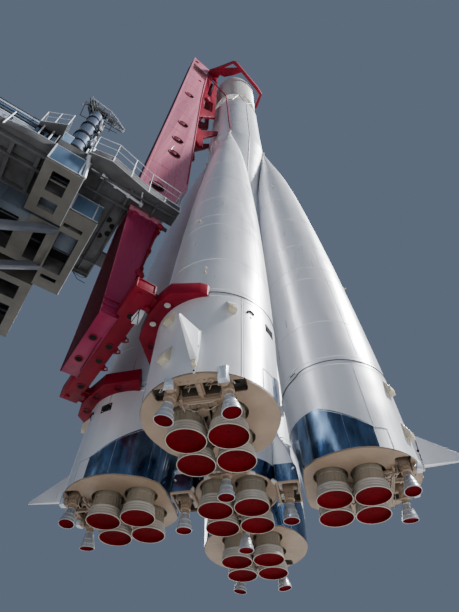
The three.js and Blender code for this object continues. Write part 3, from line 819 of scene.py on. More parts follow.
@dataclass
class BoosterHull:
    """Tank, tail, base and fittings of one booster, drawn with X outward."""

    profile: Profile = (
        (1343, 3000), (1310, 4500), (1243, 6500), (1150, 8600), (1010, 11000), (835, 13500),
        (640, 15500), (420, 17000), (255, 18000), (130, 18800), (45, 19400),
    )
    seams: tuple[float, ...] = (3140, 4480, 6530, 7150, 8570, 10600, 12500, 14400, 16200, 17600)
    outline: tuple[tuple[float, float], ...] = ((129, 1385), (145, 1400), (162, 1262), (180, 1200))
    sides: int = 96
    foot: float = 560.6
    wedges: tuple[tuple[float, float, float], ...] = ((-28, 1060, 1660), (-31, 2270, 2840), (27, 2330, 2840))
    cluster: EngineCluster = field(default_factory=lambda: EngineCluster(2512))

    def tank(self) -> Shape:
        """Turns the leaning ogive tank with its seams."""
        return turned(seamed(eased(self.profile, 4), self.seams), self.sides, booster_centre)

    def radius(self, height: float) -> float:
        """Radius of the hull at a height.

        Args:
            height: The height.

        Returns:
            The radius.
        """
        if height <= 3000:
            return 1336 + 7 * max(0, (height - 560) / 2440)
        rows = eased(self.profile, 4)
        (ra, za), (rb, zb) = next(p for p in pairwise(rows) if p[0][1] <= height <= p[1][1])
        return ra + (rb - ra) * (height - za) / (zb - za)

    def base_radius(self, azimuth: float) -> float:
        """Radius of the tail's lower edge, which is drawn out and flat towards the rocket's axis.

        Args:
            azimuth: Degrees from the outward side.

        Returns:
            The radius.
        """
        knots = [(115, 1336), *self.outline]
        turn = abs(azimuth)
        if turn <= knots[0][0]:
            return knots[0][1]
        for (a0, r0), (a1, r1) in pairwise(knots):
            if a0 <= turn <= a1:
                p, q, ray = polar(r0, a0, 0), polar(r1, a1, 0), polar(1, turn, 0)
                edge = (q[0] - p[0], q[1] - p[1])
                return (p[0] * edge[1] - p[1] * edge[0]) / (ray[0] * edge[1] - ray[1] * edge[0])
        return knots[-1][1]

    def tail(self) -> Shape:
        """Turns the tail, draws its lower edge out, and sinks the wells and pockets into its base.

        Returns:
            The new object.
        """
        obj = turned([(1336, self.foot), (1340, 1760), (1343, 2860), (1331, 2872), (1343, 2884), (1343, 2999.4)],
            self.sides, booster_centre)
        middle = booster_centre(self.foot)
        for vertex in obj.data.vertices:
            if vertex.co.z < 600:
                x, y = vertex.co.x - middle, vertex.co.y
                grow = self.base_radius(math.degrees(math.atan2(y, x))) / math.hypot(x, y)
                vertex.co.x, vertex.co.y = middle + x * grow, y * grow
        return carved(obj, self.cutters(690, 840))

    def cutters(self, well_top: float, bay_top: float) -> list[Shape]:
        """Makes the shapes cut out of the base: bell wells, two pockets and the sockets of the steering chambers.

        Args:
            well_top: How high the bell wells reach.
            bay_top: How high the pockets and sockets reach.

        Returns:
            The cutting shapes.
        """
        wells = [rod((x, y, 500), (x, y, well_top), 372, 64) for x, y in self.cluster.spots()]
        pockets = [boxed((3460, -380, 500), (3820, -50, bay_top)), boxed((3460, 80, 500), (3820, 392, bay_top))]
        sockets = [boxed((3442, side * 494 - 112, 500), (3792, side * 494 + 112, bay_top)) for side in (-1, 1)]
        rim = ((3450, 604), (3738, 604), (3702, 690), (3640, 780), (3560, 846), (3500, 856), (3450, 820))
        slots = [drawn([(x, side * y, 500) for x, y in rim[::side]], (0, 0, min(bay_top, 660) - 500)) for side in (-1,
            1)]
        return [*wells, *pockets, *sockets, *slots, *self.swings()]

    @staticmethod
    def swings() -> list[Shape]:
        """Makes the two shapes that the steering chambers sweep through the base."""
        sweep = ((410, -190), (345, -97), (36, 132), (0, 138), (-68, 120), (-278, -149), (-305, -190))
        return [drawn([(3536, side * (487 + y), 680 + z) for y, z in sweep[::side]], (236, 0, 0)) for side in (-1, 1)]

    def plate(self) -> Shape:
        """Draws the base plate inside the tail's edge, with its wells and pockets cut through.

        Returns:
            The new object.
        """
        middle = booster_centre(self.foot)
        ring = []
        for k in range(self.sides):
            turn = 360 * k / self.sides - 180
            reach = self.base_radius(turn) - 10
            ring.append(polar(reach, turn, 531, middle))
        obj = drawn(ring, (0, 0, 29))
        edit(obj)
        select_where(obj, lambda at: at.z < 532, "polygons")
        bpy.ops.mesh.inset(thickness=26)
        bpy.ops.transform.translate(value=(0, 0, 7))
        close()
        return carved(obj, self.cutters(600, 600))

    def bay_frame(self) -> Shape:
        """Builds the outer beam, the pocket frames, the centre strip and the lower plate of the steering bay.

        Returns:
            The new object.
        """
        beam = bevelled(drawn(
            [(3812, -405, 516), (3975, -352, 528), (4010, -300, 562), (4010, 290, 562), (3985, 345, 540),
            (3960, 400, 520), (3812, 405, 516)],
            (0, 0, 90)), 10)
        parts = [beam]
        parts.append(boxed((3452, -12, 488), (3822, 54, 835), 8))
        parts.append(boxed((3560, -30, 478), (3600, 72, 500), 4))
        for y0, y1 in ((-392, -376), (384, 400)):
            parts += [boxed((x0, y0, 506), (x1, y1, 700), 4) for x0, x1 in ((3452, 3530), (3778, 3822))]
        for y0, y1 in ((-330, -20), (60, 330)):
            parts.append(painted(boxed((3520, y0, 700), (3552, y1, 770), 4), WELL))
            parts.append(painted(boxed((3660, y0, 730), (3686, y1, 800), 4), WELL))
            parts.append(painted(rod((3610, y0 + 50, 660), (3740, y1 - 20, 740), 14, 8), THROAT))
            parts.append(painted(rod((3480, y0 + 60, 740), (3800, y0 + 90, 690), 10, 8), THROAT))
            parts.append(pipe([(3500, y0 + 40, 760), (3560, y0 + 104, 580), (3640, y0 + 150, 600),
                (3760, y0 + 150, 760)], 11))
        lower = drawn([(3205, -420, 470), (3300, -450, 470), (3452, -450, 470), (3452, 400, 470), (3330, 372, 470),
            (3205, 300, 470)], (0, 0, 60))
        parts.append(bevelled(lower, 10))
        parts.append(boxed((3400, -430, 440), (3446, 385, 474), 8))
        for at in (-370, -260, -150, -40, 70, 180, 290):
            parts.append(boxed((3225, at - 8, 452), (3400, at + 8, 474), 3))
        for k, at in enumerate((-330, -210, -90, 130, 240)):
            parts.append(bevelled(rod((3300 + 24 * (k % 2), at, 474), (3300 + 24 * (k % 2), at, 436), 30, 14), 4))
        for at in (-300, 210):
            parts.append(bevelled(rod((3310, at, 498), (3310, at, 440), 52, 20), 6))
        parts.append(moved(turned([(52, 540), (52, 504), (40, 496), (26, 496), (26, 512)], 24), 3866, 262, -8))
        for at in (-290, -150, 40, 150):
            parts.append(moved(turned([(16, 532), (16, 508), (11, 502)], 6), 3890, at, -4))
        can = turned([(112, 560), (118, 540), (118, 436), (104, 414), (70, 408)], 12)
        parts.append(bevelled(moved(can, 3120, -40), 5))
        for at, reach in ((-250, 3120), (170, 3140)):
            parts.append(bevelled(rod((reach, at, 540), (reach, at, 400), 60, 16, 44), 6))
        return joined([part if part.data.materials else painted(part, KHAKI) for part in parts])

    def brackets(self) -> Shape:
        """Builds the lugs, blocks and clips that carry the two steering chambers.

        Returns:
            The new object.
        """
        parts = []
        for side in (-1, 1):
            y = side * 487
            lug = drawn([(3782, y - 90, 940), (3782, y - 90, 450), (3782, y - 46, 394), (3782, y + 46, 394),
                         (3782, y + 90, 450), (3782, y + 90, 940)], (86, 0, 0))
            parts.append(bevelled(lug, 9))
            parts.append(bevelled(rod((3862, y, 600), (3884, y, 600), 62, 24), 6))
            parts.append(rod((3880, y, 600), (3894, y, 600), 24, 6))
            parts.append(bevelled(boxed((3386, y - 96, 470), (3439, y + 96, 830)), 10))
            parts.append(bevelled(boxed((3392, side * 380 - 30, 446), (3528, side * 380 + 30, 560)), 10))
            parts.append(bevelled(rod((3810, side * 394, 560), (3810, side * 394, 430), 30, 14), 5))
            for lift in (-60, 60):
                parts.append(rod((3436, y + lift, 830), (3436, y + lift * 0.5, 500), 14))
        return joined(parts)

    def loops(self) -> Shape:
        """Runs the thin looped pipes beside the steering chambers and over the bay.

        Returns:
            The new object.
        """
        runs = []
        for side in (-1, 1):
            y = side * 487
            runs.append(pipe([(3480, y + side * 90, 560), (3470, y + side * 150, 430), (3450, y + side * 170, 300),
                              (3400, y + side * 130, 230), (3380, y + side * 70, 320), (3400, y + side * 30, 520)],
                              9))
            runs.append(pipe([(3380, y - side * 60, 540), (3350, y - side * 110, 440), (3260, y - side * 130, 400),
                              (3150, y - side * 90, 420), (3060, y - side * 40, 540)], 12))
            runs.append(pipe([(3840, y + side * 70, 560), (3850, y + side * 150, 470), (3820, y + side * 190, 410),
                              (3800, y + side * 150, 450), (3796, y + side * 110, 560)], 8))
        runs.append(pipe([(3420, -360, 470), (3380, -250, 440), (3380, 180, 440), (3430, 300, 470)], 13))
        runs.append(pipe([(3250, -340, 480), (3180, -200, 430), (3190, 120, 430), (3240, 260, 480)], 10))
        return joined(runs)

    def band(self) -> Shape:
        """Lifts the polished sheet off the inner side of the tail, and trims its upper edge to the slope.

        Returns:
            The new object.
        """
        obj = turned([(1336, self.foot), (1337, 1060), (1340, 1760)], self.sides, booster_centre)
        middle = booster_centre(self.foot)
        for vertex in obj.data.vertices:
            x, y = vertex.co.x - booster_centre(vertex.co.z), vertex.co.y
            share = max(0, 1 - (vertex.co.z - 560.6) / 1199.4)
            wide = self.base_radius(math.degrees(math.atan2(y, x)))
            grow = (wide * share + 1340 * (1 - share) + 2.5) / math.hypot(x, y)
            vertex.co.x, vertex.co.y = booster_centre(vertex.co.z) + x * grow, y * grow
        edit(obj)
        select_where(obj, lambda at: at.z < 561 or at.z > 1759, "polygons")
        bpy.ops.mesh.delete(type="FACE")
        self._trim(lambda at: True, (middle + 728, 0, 0), (1, 0, 0))
        self._trim(lambda at: at.z > 1060, (middle + 435, 0, 1060), (0.61, 0, 1))
        self._trim(lambda at: at.z > 1060, (0, 0, 1740), (0, 0, 1))
        bpy.ops.object.mode_set(mode="OBJECT")
        pick(obj)
        thick = obj.modifiers.new("sheet", "SOLIDIFY")
        thick.thickness = 3
        thick.offset = 1
        bpy.ops.object.modifier_apply(modifier=thick.name)
        return obj

    @staticmethod
    def _trim(test: Callable[[Vector], bool], point: Point, normal: Point) -> None:
        """Cuts the chosen faces of the object in edit mode along a plane, and clears the outer side.

        Args:
            test: Says for a face's middle whether it is cut.
            point: A point on the plane.
            normal: The plane's normal, towards the side that is cleared.
        """
        obj = bpy.context.edit_object
        select_where(obj, test, "polygons")
        bpy.ops.mesh.bisect(plane_co=point, plane_no=normal, clear_outer=True)

    @staticmethod
    def band_edge(turn: float) -> Point:
        """The point of the polished sheet's sloping upper edge at a turn about the booster.

        Args:
            turn: The turn, in degrees from the outward side.

        Returns:
            The point.
        """
        x = 1344 * math.cos(math.radians(turn))
        top = min(1740, max(1060, 1060 + 0.61 * (435 - x)))
        return polar(1344, turn, top, booster_centre(top))

    def band_trim(self) -> Shape:
        """Runs the thin trim line and the panel joints over the polished sheet.

        Returns:
            The new object.
        """
        strips = []
        middle = booster_centre(self.foot)
        for side in (-1, 1):
            strips.append(pipe([self.band_edge(side * turn) for turn in range(58, 181, 6)], 7, 1))
            for turn in (57.5, 96, 132, 165):
                low = polar(self.base_radius(turn) + 5, side * turn, 566, middle)
                strips.append(rod(low, self.band_edge(side * turn), 5, 6))
        return joined(strips)

    def fin_root(self) -> Shape:
        """Draws the fin's root, thinner towards its hinge edge, with the foot bracket and the duct below it.

        Returns:
            The new object.
        """
        root = drawn([(3850, -70, 750), (4128, -70, 790), (4128, -70, 1560), (4000, -70, 1690), (3850, -70, 1760)],
            (0, 140, 0))
        edit(root)
        select_where(root, lambda at: at.x > 4100)
        bpy.ops.transform.resize(value=(1, 0.72, 1), center_override=(4128, 0, 1200))
        close()
        parts = [painted(bevelled(root, 10, 3), WHITE)]
        parts.append(painted(bevelled(boxed((3985, -42, 692), (4150, 42, 786)), 10), CREAM))
        parts.append(painted(bevelled(boxed((4020, -22, 540), (4076, 22, 700)), 8), WHITE))
        # A near-black disc as painted shade in the duct's mouth.
        parts.append(painted(rod((4070, 0, 590), (4084, 0, 590), 18, 12), DARK))
        return joined(parts)

    def fin_marks(self) -> Shape:
        """Runs a near-black line as painted shade in the gap between the fin's root and its moving blade, with the
        dark hinge cap.

        Returns:
            The new object.
        """
        gap = pipe([(4141, 0, 800), (4141, 0, 1555)], 13, 1)
        caps = [rod((4128, side * 44, 1150), (4128, side * 58, 1150), 34, 16) for side in (-1, 1)]
        return joined([gap, *caps])

    def on_skin(self, shape: Shape, azimuth: float, height: float) -> Shape:
        """Sets a patch that is drawn about the origin on the skin.

        Args:
            shape: The patch, with X outward.
            azimuth: Degrees about the booster's own middle, from its outward side.
            height: Height of the patch.

        Returns:
            The same object.
        """
        shape.data.transform(skin_frame(azimuth, height, self.radius(height)))
        return shape

    def wedge_boxes(self) -> Shape:
        """Draws the three wedge fairings, white on their slope and cream on their open faces.

        Returns:
            The new object.
        """
        parts = []
        for azimuth, low, high in self.wedges:
            tall = (high - low) * 0.86
            body = drawn([(-58, -98, 0), (118, -98, 0), (118, -98, 150), (-58, -98, tall)], (0, 196, 0))
            body = bevelled(body, 9, 3)
            body.data.materials.append(CREAM.material())
            body.data.materials.append(WHITE.material())
            for face in body.data.polygons:
                face.material_index = 1 if face.normal.z > 0.15 or face.center.z > 170 else 0
            lid = painted(boxed((110, -72, 26), (124, 72, 126), 5), CREAM)
            rib = painted(boxed((118, -9, 20), (129, 9, 132), 3), CREAM)
            bolts = [painted(rod((117, a, b), (126, a, b), 7, 8), CREAM) for a in (-85, 85) for b in (16, 136)]
            below = [painted(boxed((16, -76, -10), (96, 76, 4), 5), CREAM)]
            parts.append(self.on_skin(joined([body, lid, rib, *bolts, *below]), azimuth, low))
        return joined(parts)

    def skin_boxes(self) -> Shape:
        """Sets the small lugs and knobs on the skin.

        Returns:
            The new object.
        """
        parts = []
        for azimuth, height, size in ((0, 4050, 60), (0, 3850, 60), (-16, 6900, 80), (14, 8000, 50)):
            foot = boxed((-10, -size * 0.6, -size * 0.6), (12, size * 0.6, size * 0.6), 4)
            knob = rod((0, 0, 0), (size, 0, 0), size * 0.32, 16, size * 0.22)
            parts.append(self.on_skin(joined([foot, bevelled(knob, 3)]), azimuth, height))
        return joined(parts)

    def seam_lines(self) -> Shape:
        """Lays raised joint strips along the skin, and the drip edge round the tail's foot.

        Returns:
            The new object.
        """
        strips = []
        for azimuth, low, high, size in ((36.5, 590, 2960, 11), (38.5, 590, 2960, 6), (-70, 1100, 2960, 7),
                                         (150, 1800, 2960, 7), (90, 1800, 2960, 7)):
            a, b = (polar(self.radius(z) - 1, azimuth, z, booster_centre(z)) for z in (low, high))
            strips.append(rod(a, b, size, 6))
        for azimuth, low, high in ((120, 3200, 12400), (-120, 3200, 12400), (60, 3200, 8500), (-60, 3200, 8500)):
            rows = [low + (high - low) * k / 12 for k in range(13)]
            strips.append(pipe([polar(self.radius(z) - 1, azimuth, z, booster_centre(z)) for z in rows], 6, 1))
        return joined(strips)

    def vents(self) -> Shape:
        """Sets near-black patches as painted shade of the vents near the tip and of the oval low on the side, and the
        dark handle.

        Returns:
            The new object.
        """
        parts = []
        for azimuth, height, wide, tall in ((25, 17250, 55, 150), (-40, 17250, 55, 150), (4, 18350, 34, 70)):
            vent = bevelled(boxed((-34, -wide / 2, -tall / 2), (5, wide / 2, tall / 2)), min(wide, tall) * 0.3, 4)
            parts.append(self.on_skin(vent, azimuth, height))
        oval = rod((-30, 0, 0), (9, 0, 0), 100, 32)
        oval.data.transform(Matrix.Diagonal((1, 1.4, 0.95, 1)))
        parts.append(self.on_skin(oval, 71.5, 2450))
        handle = pipe([(0, -78, -52), (14, -74, 10), (16, -30, 42), (16, 40, 46), (14, 80, 14), (0, 84, -30)], 17, 2)
        parts.append(self.on_skin(handle, 45.4, 2544))
        parts.append(self.on_skin(rod((-4, 0, 0), (8, 0, 0), 24, 12), 45.9, 2395))
        return joined(parts)

    def vent_rim(self) -> Shape:
        """Frames the dark oval with a raised rim.

        Returns:
            The new object.
        """
        rim = bevelled(boxed((-30, -160, -115), (12, 160, 115)), 60, 4)
        bore = bevelled(boxed((-60, -142, -97), (60, 142, 97)), 50, 4)
        return self.on_skin(carved(rim, [bore]), 71.5, 2450)

    def belt(self) -> Shape:
        """Runs the dark cable round the joint of tank and tail, lower on the inner side, with its two clips.

        Returns:
            The new object.
        """
        ring = []
        for k in range(61):
            turn = 6 * k
            drop = min(1, max(0, (90 - abs(180 - turn) - 34) / 10))
            ring.append(polar(1349, turn, 3000 - 108 * drop, booster_centre(3000)))
        parts = [painted(pipe(ring, 12, 1), CABLE)]
        for side in (-1, 1):
            hook = painted(bevelled(drawn([(0, -130, 20), (46, -110, 20), (46, 60, 120), (0, 130, 150)], (0, 0, 26)),
                8), WHITE)
            strap = painted(boxed((-6, -150, -30), (22, 150, 24), 6), WHITE)
            shade = painted(boxed((4, -100, -2), (34, 100, 16), 4), DARK)
            clip = joined([hook, strap, shade])
            clip.data.transform(skin_frame(side * 135, 3010, self.radius(3000)))
            parts.append(clip)
        return joined(parts)

    def housings(self) -> Shape:
        """Draws the two pale boxes in front of the lugs, the right one taller.

        Returns:
            The new object.
        """
        parts = []
        for side, top, wide in ((-1, 650, 540), (1, 780, 556)):
            foot = [(3868, side * 398, 404), (3985, side * 398, 404), (3992, side * 420, 404),
                (3992, side * wide, 404), (3868, side * 604, 404)]
            box = drawn(foot, (0, 0, top - 404))
            edit(box)
            select_where(box, lambda at: at.z > top - 10 and at.x > 3980)
            bpy.ops.transform.translate(value=(0, 0, -70))
            close()
            parts.append(bevelled(box, 10, 3))
            y0, y1 = sorted((side * 430, side * (wide - 20)))
            parts.append(boxed((3986, y0, 450), (3998, y1, top - 130), 5))
        return joined(parts)


@dataclass
class SteeringChamber:
    """One swinging chamber with its cover, yoke and trunnion."""

    pivot: Point
    length: float
    splay: float
    pin: tuple[float, float]

    def place(self) -> Matrix:
        """Matrix from the chamber drawn about the origin to its pivot."""
        return Matrix.Translation(self.pivot) @ Matrix.Rotation(math.radians(self.splay), 4, "X")

    def chamber(self) -> Shape:
        """Turns the conical chamber with its ring lines.

        Returns:
            The new object.
        """
        d = -self.length
        profile = [
            (40, 34), (78, 22), (90, -20), (92, -62), (98, -70), (98, -90), (93, -96), (98, -296), (100, -318),
            (84, -336), (80, -392),
            (86, -408), (92, -412), (92, -428), (88, -434), (108, -502), (130, -566), (136, -570), (136, -584),
            (133, -588), (157, d + 96), (167, d + 92), (167, d + 80),
            (164, d + 76), (173, d + 28), (178, d + 24), (178, d + 4), (174, d), (166, d), (163, d + 5),
            (154, d + 50), (150, d + 66),
        ]
        shell = painted(turned(profile, 48), CHAMBER)
        shell.data.materials.append(KHAKI.material())
        for face in shell.data.polygons:
            face.material_index = 1 if face.center.z > -408 else 0
        shell.data.transform(self.place())
        return shell

    def cover(self) -> Shape:
        """Turns the cover that closes the bell up to its lip.

        Returns:
            The new object.
        """
        d = -self.length
        lid = turned([(4, d + 62), (150, d + 56), (163, d + 11), (167, d + 5), (165, d + 2), (161, d + 7),
            (148, d + 38), (140, d + 42), (20, d + 46), (4, d + 40)], 40)
        lid.data.transform(self.place())
        return painted(lid, COVER)

    def yoke(self) -> Shape:
        """Builds the block, ribs and trunnion that the chamber swings on.

        Returns:
            The new object.
        """
        parts = [boxed((-106, -95, -180), (106, 95, 34), 16)]
        parts.append(boxed((-111, -99, -128), (111, 99, -20), 10))
        parts.append(bevelled(boxed((-100, -92, -306), (100, 92, -160)), 28, 3))
        parts.append(boxed((-60, -99, -270), (60, 99, -200), 8))
        parts.append(bevelled(boxed((-72, -62, -396), (72, 62, -300)), 14, 2))
        parts.append(bevelled(rod((0, 0, 30), (0, 0, 58), 46, 20), 5))
        parts.append(bevelled(rod((0, 0, -322), (0, 0, -292), 116, 28), 6))
        for side in (-1, 1):
            parts.append(rod((side * 70, 99, -110), (side * 60, 84, -306), 12, 8))
            parts.append(rod((side * 70, -99, -110), (side * 60, -84, -306), 12, 8))
            parts.append(bevelled(rod((side * 30, 96, -230), (side * 30, 112, -230), 30, 12), 4))
            parts.append(bevelled(rod((side * 30, -96, -210), (side * 30, -112, -210), 30, 12), 4))
        block = joined(parts)
        block.data.transform(self.place())
        x, y, z = self.pivot
        axle = bevelled(rod((self.pin[0], y, z), (self.pin[1], y, z), 68, 28), 5)
        return joined([block, axle])


@dataclass
class BoosterSet:
    """The four boosters: one is modelled, and copied to its four sides."""

    azimuths: dict[str, float] = field(default_factory=lambda: {"front": -90, "right": 0, "back": 90, "left": 180})
    hull: BoosterHull = field(default_factory=BoosterHull)

    def spread(
        self,
        name: str,
        shape: Shape,
        finish: Finish,
        node: str = "",
        body: str = "",
        smooth: float = 35,
        accents: Sequence[tuple[Finish, FaceTest]] = (),
        slot: str = "",
    ) -> None:
        """Settles a copy of a shape on each booster.

        Args:
            name: Name of the piece, after the booster's.
            shape: The shape, drawn with X outward.
            finish: Its finish.
            node: CAD node that it replaces, after the booster's name.
            body: CAD body that carries it, after the booster's name.
            smooth: Edges flatter than this many degrees are shaded smooth.
            accents: Further finishes, and the faces that take them.
            slot: The slot name kept on the piece, where it isn't the finish's own.
        """
        for side, azimuth in self.azimuths.items():
            carrier = f"booster_{side}_{body}" if body else ROOT
            nodes = (f"booster_{side}_{node}",) if node else ()
            twin = copied(shape, Matrix.Identity(4))
            Piece(f"booster_{side}_{name}", twin, finish, carrier, nodes, smooth, accents, slot).settle(azimuth)
        bpy.data.objects.remove(shape)

    def build(self) -> None:
        """Builds the boosters' hulls, bases and moving parts."""
        hull = self.hull
        # Painted shade: low faces of the tail that face down or lie inside the wells take the darker well colour, and
        # those in the steering bay take the near-black pit colour.
        inner = lambda at, normal: at.z < 960 and (
            normal.z < -0.5 or math.hypot(at.x - booster_centre(at.z), at.y) < 1300)
        pits = lambda at, normal: inner(at, normal) and at.x > 3430
        self.spread("tank_skin", hull.tank(), WHITE, "tank")
        self.spread("tail_skin", hull.tail(), WHITE, "tail", smooth=25, accents=[(WELL, inner), (PIT, pits)])
        self.spread("base_plate", hull.plate(), KHAKI, "engine", smooth=25)
        self.spread("bells", hull.cluster.set_of(hull.cluster.bell), BELL)
        self.spread("bell_covers", hull.cluster.set_of(hull.cluster.cover), COVER)
        self.spread("looped_pipes", hull.loops(), BELL, slot="grey_steel")
        self.spread("housings", hull.housings(), BLUE_GREY, slot="white_paint")
        for name, make, finish in (
            ("feed_pipes", hull.cluster.pipes, BELL), ("bay_frame", hull.bay_frame, KHAKI),
            ("brackets", hull.brackets, KHAKI),
            ("mirror_band", hull.band, MIRROR), ("band_trim", hull.band_trim, CHROME),
            ("fin_root", hull.fin_root, WHITE),
            ("fin_marks", hull.fin_marks, DARK), ("wedge_boxes", hull.wedge_boxes, WHITE),
            ("skin_boxes", hull.skin_boxes, CREAM),
            ("joint_strips", hull.seam_lines, WHITE), ("vents", hull.vents, DARK), ("vent_rim", hull.vent_rim, DARK),
            ("belt_cable", hull.belt, CABLE),
        ):
            self.spread(name, make(), finish)
        for letter, side in (("a", -1), ("b", 1)):
            unit = SteeringChamber((3654, side * 487, 680), 770, side * 8, (3440.8, 3779.2))
            body = f"vernier_{letter}"
            self.spread(f"chamber_{letter}", unit.chamber(), BLUE_GREY, body, body)
            self.spread(f"chamber_{letter}_cover", unit.cover(), COVER, "", body)
            self.spread(f"chamber_{letter}_yoke", unit.yoke(), KHAKI, "", body)
        self.spread("rudder_blade", self.rudder(), WHITE, "rudder", "rudder")

    def rudder(self) -> Shape:
        """Rounds the rudder's edges and sets its shaft collar and hinge line.

        Returns:
            The new object.
        """
        blade = refined("booster_front_rudder", 5, 3, 20)
        blade.data.transform(about_z(90))
        collar = bevelled(rod((4150, 0, 1150), (4172, 0, 1150), 66, 24), 4)
        return joined([blade, collar])


@dataclass
class Core:
    """The middle rocket: base, tail with its four ears, tank, shoulder, lattice, stage and fairing."""

    cluster: EngineCluster = field(default_factory=lambda: EngineCluster(0))
    sides: int = 96
    tank_seams: tuple[float, ...] = (3120, 4600, 6200, 7900, 9600, 11300, 13000)
    shoulder_seams: tuple[float, ...] = (15700, 17000, 18300, 19400, 20500, 21400, 22000, 23200, 24400)

    def base(self) -> Shape:
        """Turns the round base plate with its lip, and cuts the four wells.

        Returns:
            The new object.
        """
        plate = bevelled(turned([(890, 545), (897, 531), (925, 531), (952, 548), (952, 560)], self.sides), 3)
        wells = [rod((x, y, 500), (x, y, 600), 360, 64) for x, y in self.cluster.spots()]
        return carved(plate, wells)

    def drum(self) -> Shape:
        """Turns the tail drum, with the wells sunk into its base.

        Returns:
            The new object.
        """
        rows = seamed([(950, 560.6), (970, 935), (1000, 1500), (1000, 2999.4)], (1680, 2300, 2860))
        wells = [rod((x, y, 500), (x, y, 690), 360, 64) for x, y in self.cluster.spots()]
        return carved(turned(rows, self.sides), wells)

    def ear(self) -> Shape:
        """Draws one slanted ear, open below for its steering chamber, in cream, mirror and white bands, with its
        inside in near-black painted shade.

        Returns:
            The new object.
        """
        outline = [(905, 470), (1450, 470), (1408, 855), (1370, 915), (1250, 1340), (1110, 1580), (1040, 1900),
            (985, 2300), (905, 2300)]
        outer = bevelled(drawn([(x, -450, z) for x, z in outline], (0, 900, 0)), 45, 4, 40)
        outer = carved(outer, [bevelled(boxed((968, -408, 380), (1400, 408, 850)), 50, 4)])
        edit(outer)
        for height in (512, 935):
            bpy.ops.mesh.select_all(action="SELECT")
            bpy.ops.mesh.bisect(plane_co=(0, 0, height), plane_no=(0, 0, 1))
        close()
        for finish in (KHAKI, MIRROR, WHITE, PIT):
            outer.data.materials.append(finish.material())
        # Faces inside the opening take the near-black pit colour as painted shade.
        for face in outer.data.polygons:
            z, inside = face.center.z, abs(face.center.y) < 409 and 967 < face.center.x < 1401
            mirrored = z < 935 and face.normal.x < 0.6
            face.material_index = 3 if inside and 500 < z < 851 else 0 if z < 512 else 1 if mirrored else 2
        block = painted(bevelled(boxed((1130, -110, 1370), (1290, 110, 1640)), 16, 3), WHITE)
        return joined([outer, block])

    def ear_fittings(self) -> Shape:
        """Sets the blocks, struts and pipes inside one ear, and the bolts of its rim.

        Returns:
            The new object.
        """
        parts = [boxed((969, side * 225 - 130, 520), (1052, side * 225 + 130, 849), 12) for side in (-1, 1)]
        parts += [boxed((969, -90, 700), (1045, 90, 849), 10), boxed((1372, -100, 520), (1399, 100, 849), 8)]
        parts += [boxed((1040, side * 240 - 40, 560), (1054, side * 240 + 40, 790), 8) for side in (-1, 1)]
        parts += [boxed((1310, side * 330 - 60, 640), (1399, side * 330 + 60, 849), 10) for side in (-1, 1)]
        parts += [rod((1090, side * 340, 848), (1020, side * 250, 500), 15) for side in (-1, 1)]
        parts += [rod((1330, side * 340, 848), (1330, side * 215, 560), 12) for side in (-1, 1)]
        parts.append(pipe([(1010, -280, 700), (1010, -200, 540), (1036, -140, 500), (1032, -130, 700)], 10))
        parts.append(pipe([(1010, 280, 700), (1010, 210, 570), (1036, 170, 510), (1032, 150, 700)], 10))
        for y in (-330, -110, 110, 330):
            parts.append(bevelled(rod((1424, y, 600), (1446, y, 600), 18, 8), 3))
        parts += [bevelled(drawn([(880, side * 392, 500), (1000, side * 392, 500), (1000, side * 392, 540),
            (880, side * 560, 540),
                                  (840, side * 560, 500)], (0, 0, -26)), 5) for side in (-1, 1)]
        return joined(parts)

    def ties(self) -> Shape:
        """Draws one tie between the core and a booster, with its two end plates.

        Returns:
            The new object.
        """
        hull = BoosterHull()
        reach = booster_centre(2720) - hull.radius(2720) - 2
        bar = boxed((990, -58, 2580), (reach - 8, 58, 2870), 20)
        plates = [boxed((996, -150, 2480), (1030, 150, 2960), 10)]
        plates += [rod((1040, side * 105, 2520 + k * 100), (1028, side * 105, 2520 + k * 100), 13, 8) for side in (-1,
            1) for k in range(5)]
        return joined([bar, *plates])

    def strut(self) -> Shape:
        """Draws the pair of thin steadying struts low between the core and a booster.

        Returns:
            The new object.
        """
        ends = [((960, side * 250, 1250), (1330, side * 420, 800)) for side in (-1, 1)]
        bars = [rod(a, b, 24, 16) for a, b in ends]
        cups = [bevelled(rod(b, (b[0] + 24, b[1] + side * 12, b[2] - 26), 44, 16), 5) for (a, b),
            side in zip(ends, (-1, 1))]
        return joined([*bars, *cups])

    def tank(self) -> Shape:
        """Turns the straight lower tank."""
        return turned(seamed([(1000, 3000), (1000, 14599.4)], self.tank_seams), self.sides)

    def shoulder(self) -> Shape:
        """Turns the tapering shoulder with its belts and seams.

        Returns:
            The new object.
        """
        rows = [
            (1000, 14600), (1440, 19300), (1462, 19420), (1472, 19600), (1475, 19700), (1475, 20150), (1470, 20250),
            (1420, 22000), (1370, 24500), (1352, 25300), (1366, 25310), (1366, 25420), (1350, 25499.4),
        ]
        return turned(seamed(rows, self.shoulder_seams), self.sides)

    def sockets(self) -> Shape:
        """Builds one ball socket that a booster's tip bears on, with its bracket.

        Returns:
            The new object.
        """
        block = boxed((1420, -78, 19402), (1563, 78, 19618), 14)
        cup = bevelled(rod((1511, 0, 19401), (1511, 0, 19440), 62, 24, 50), 5)
        web = bevelled(drawn([(1430, -14, 19610), (1560, -14, 19610), (1470, -14, 19990), (1430, -14, 19990)],
            (0, 28, 0)), 5)
        return joined([block, cup, web])

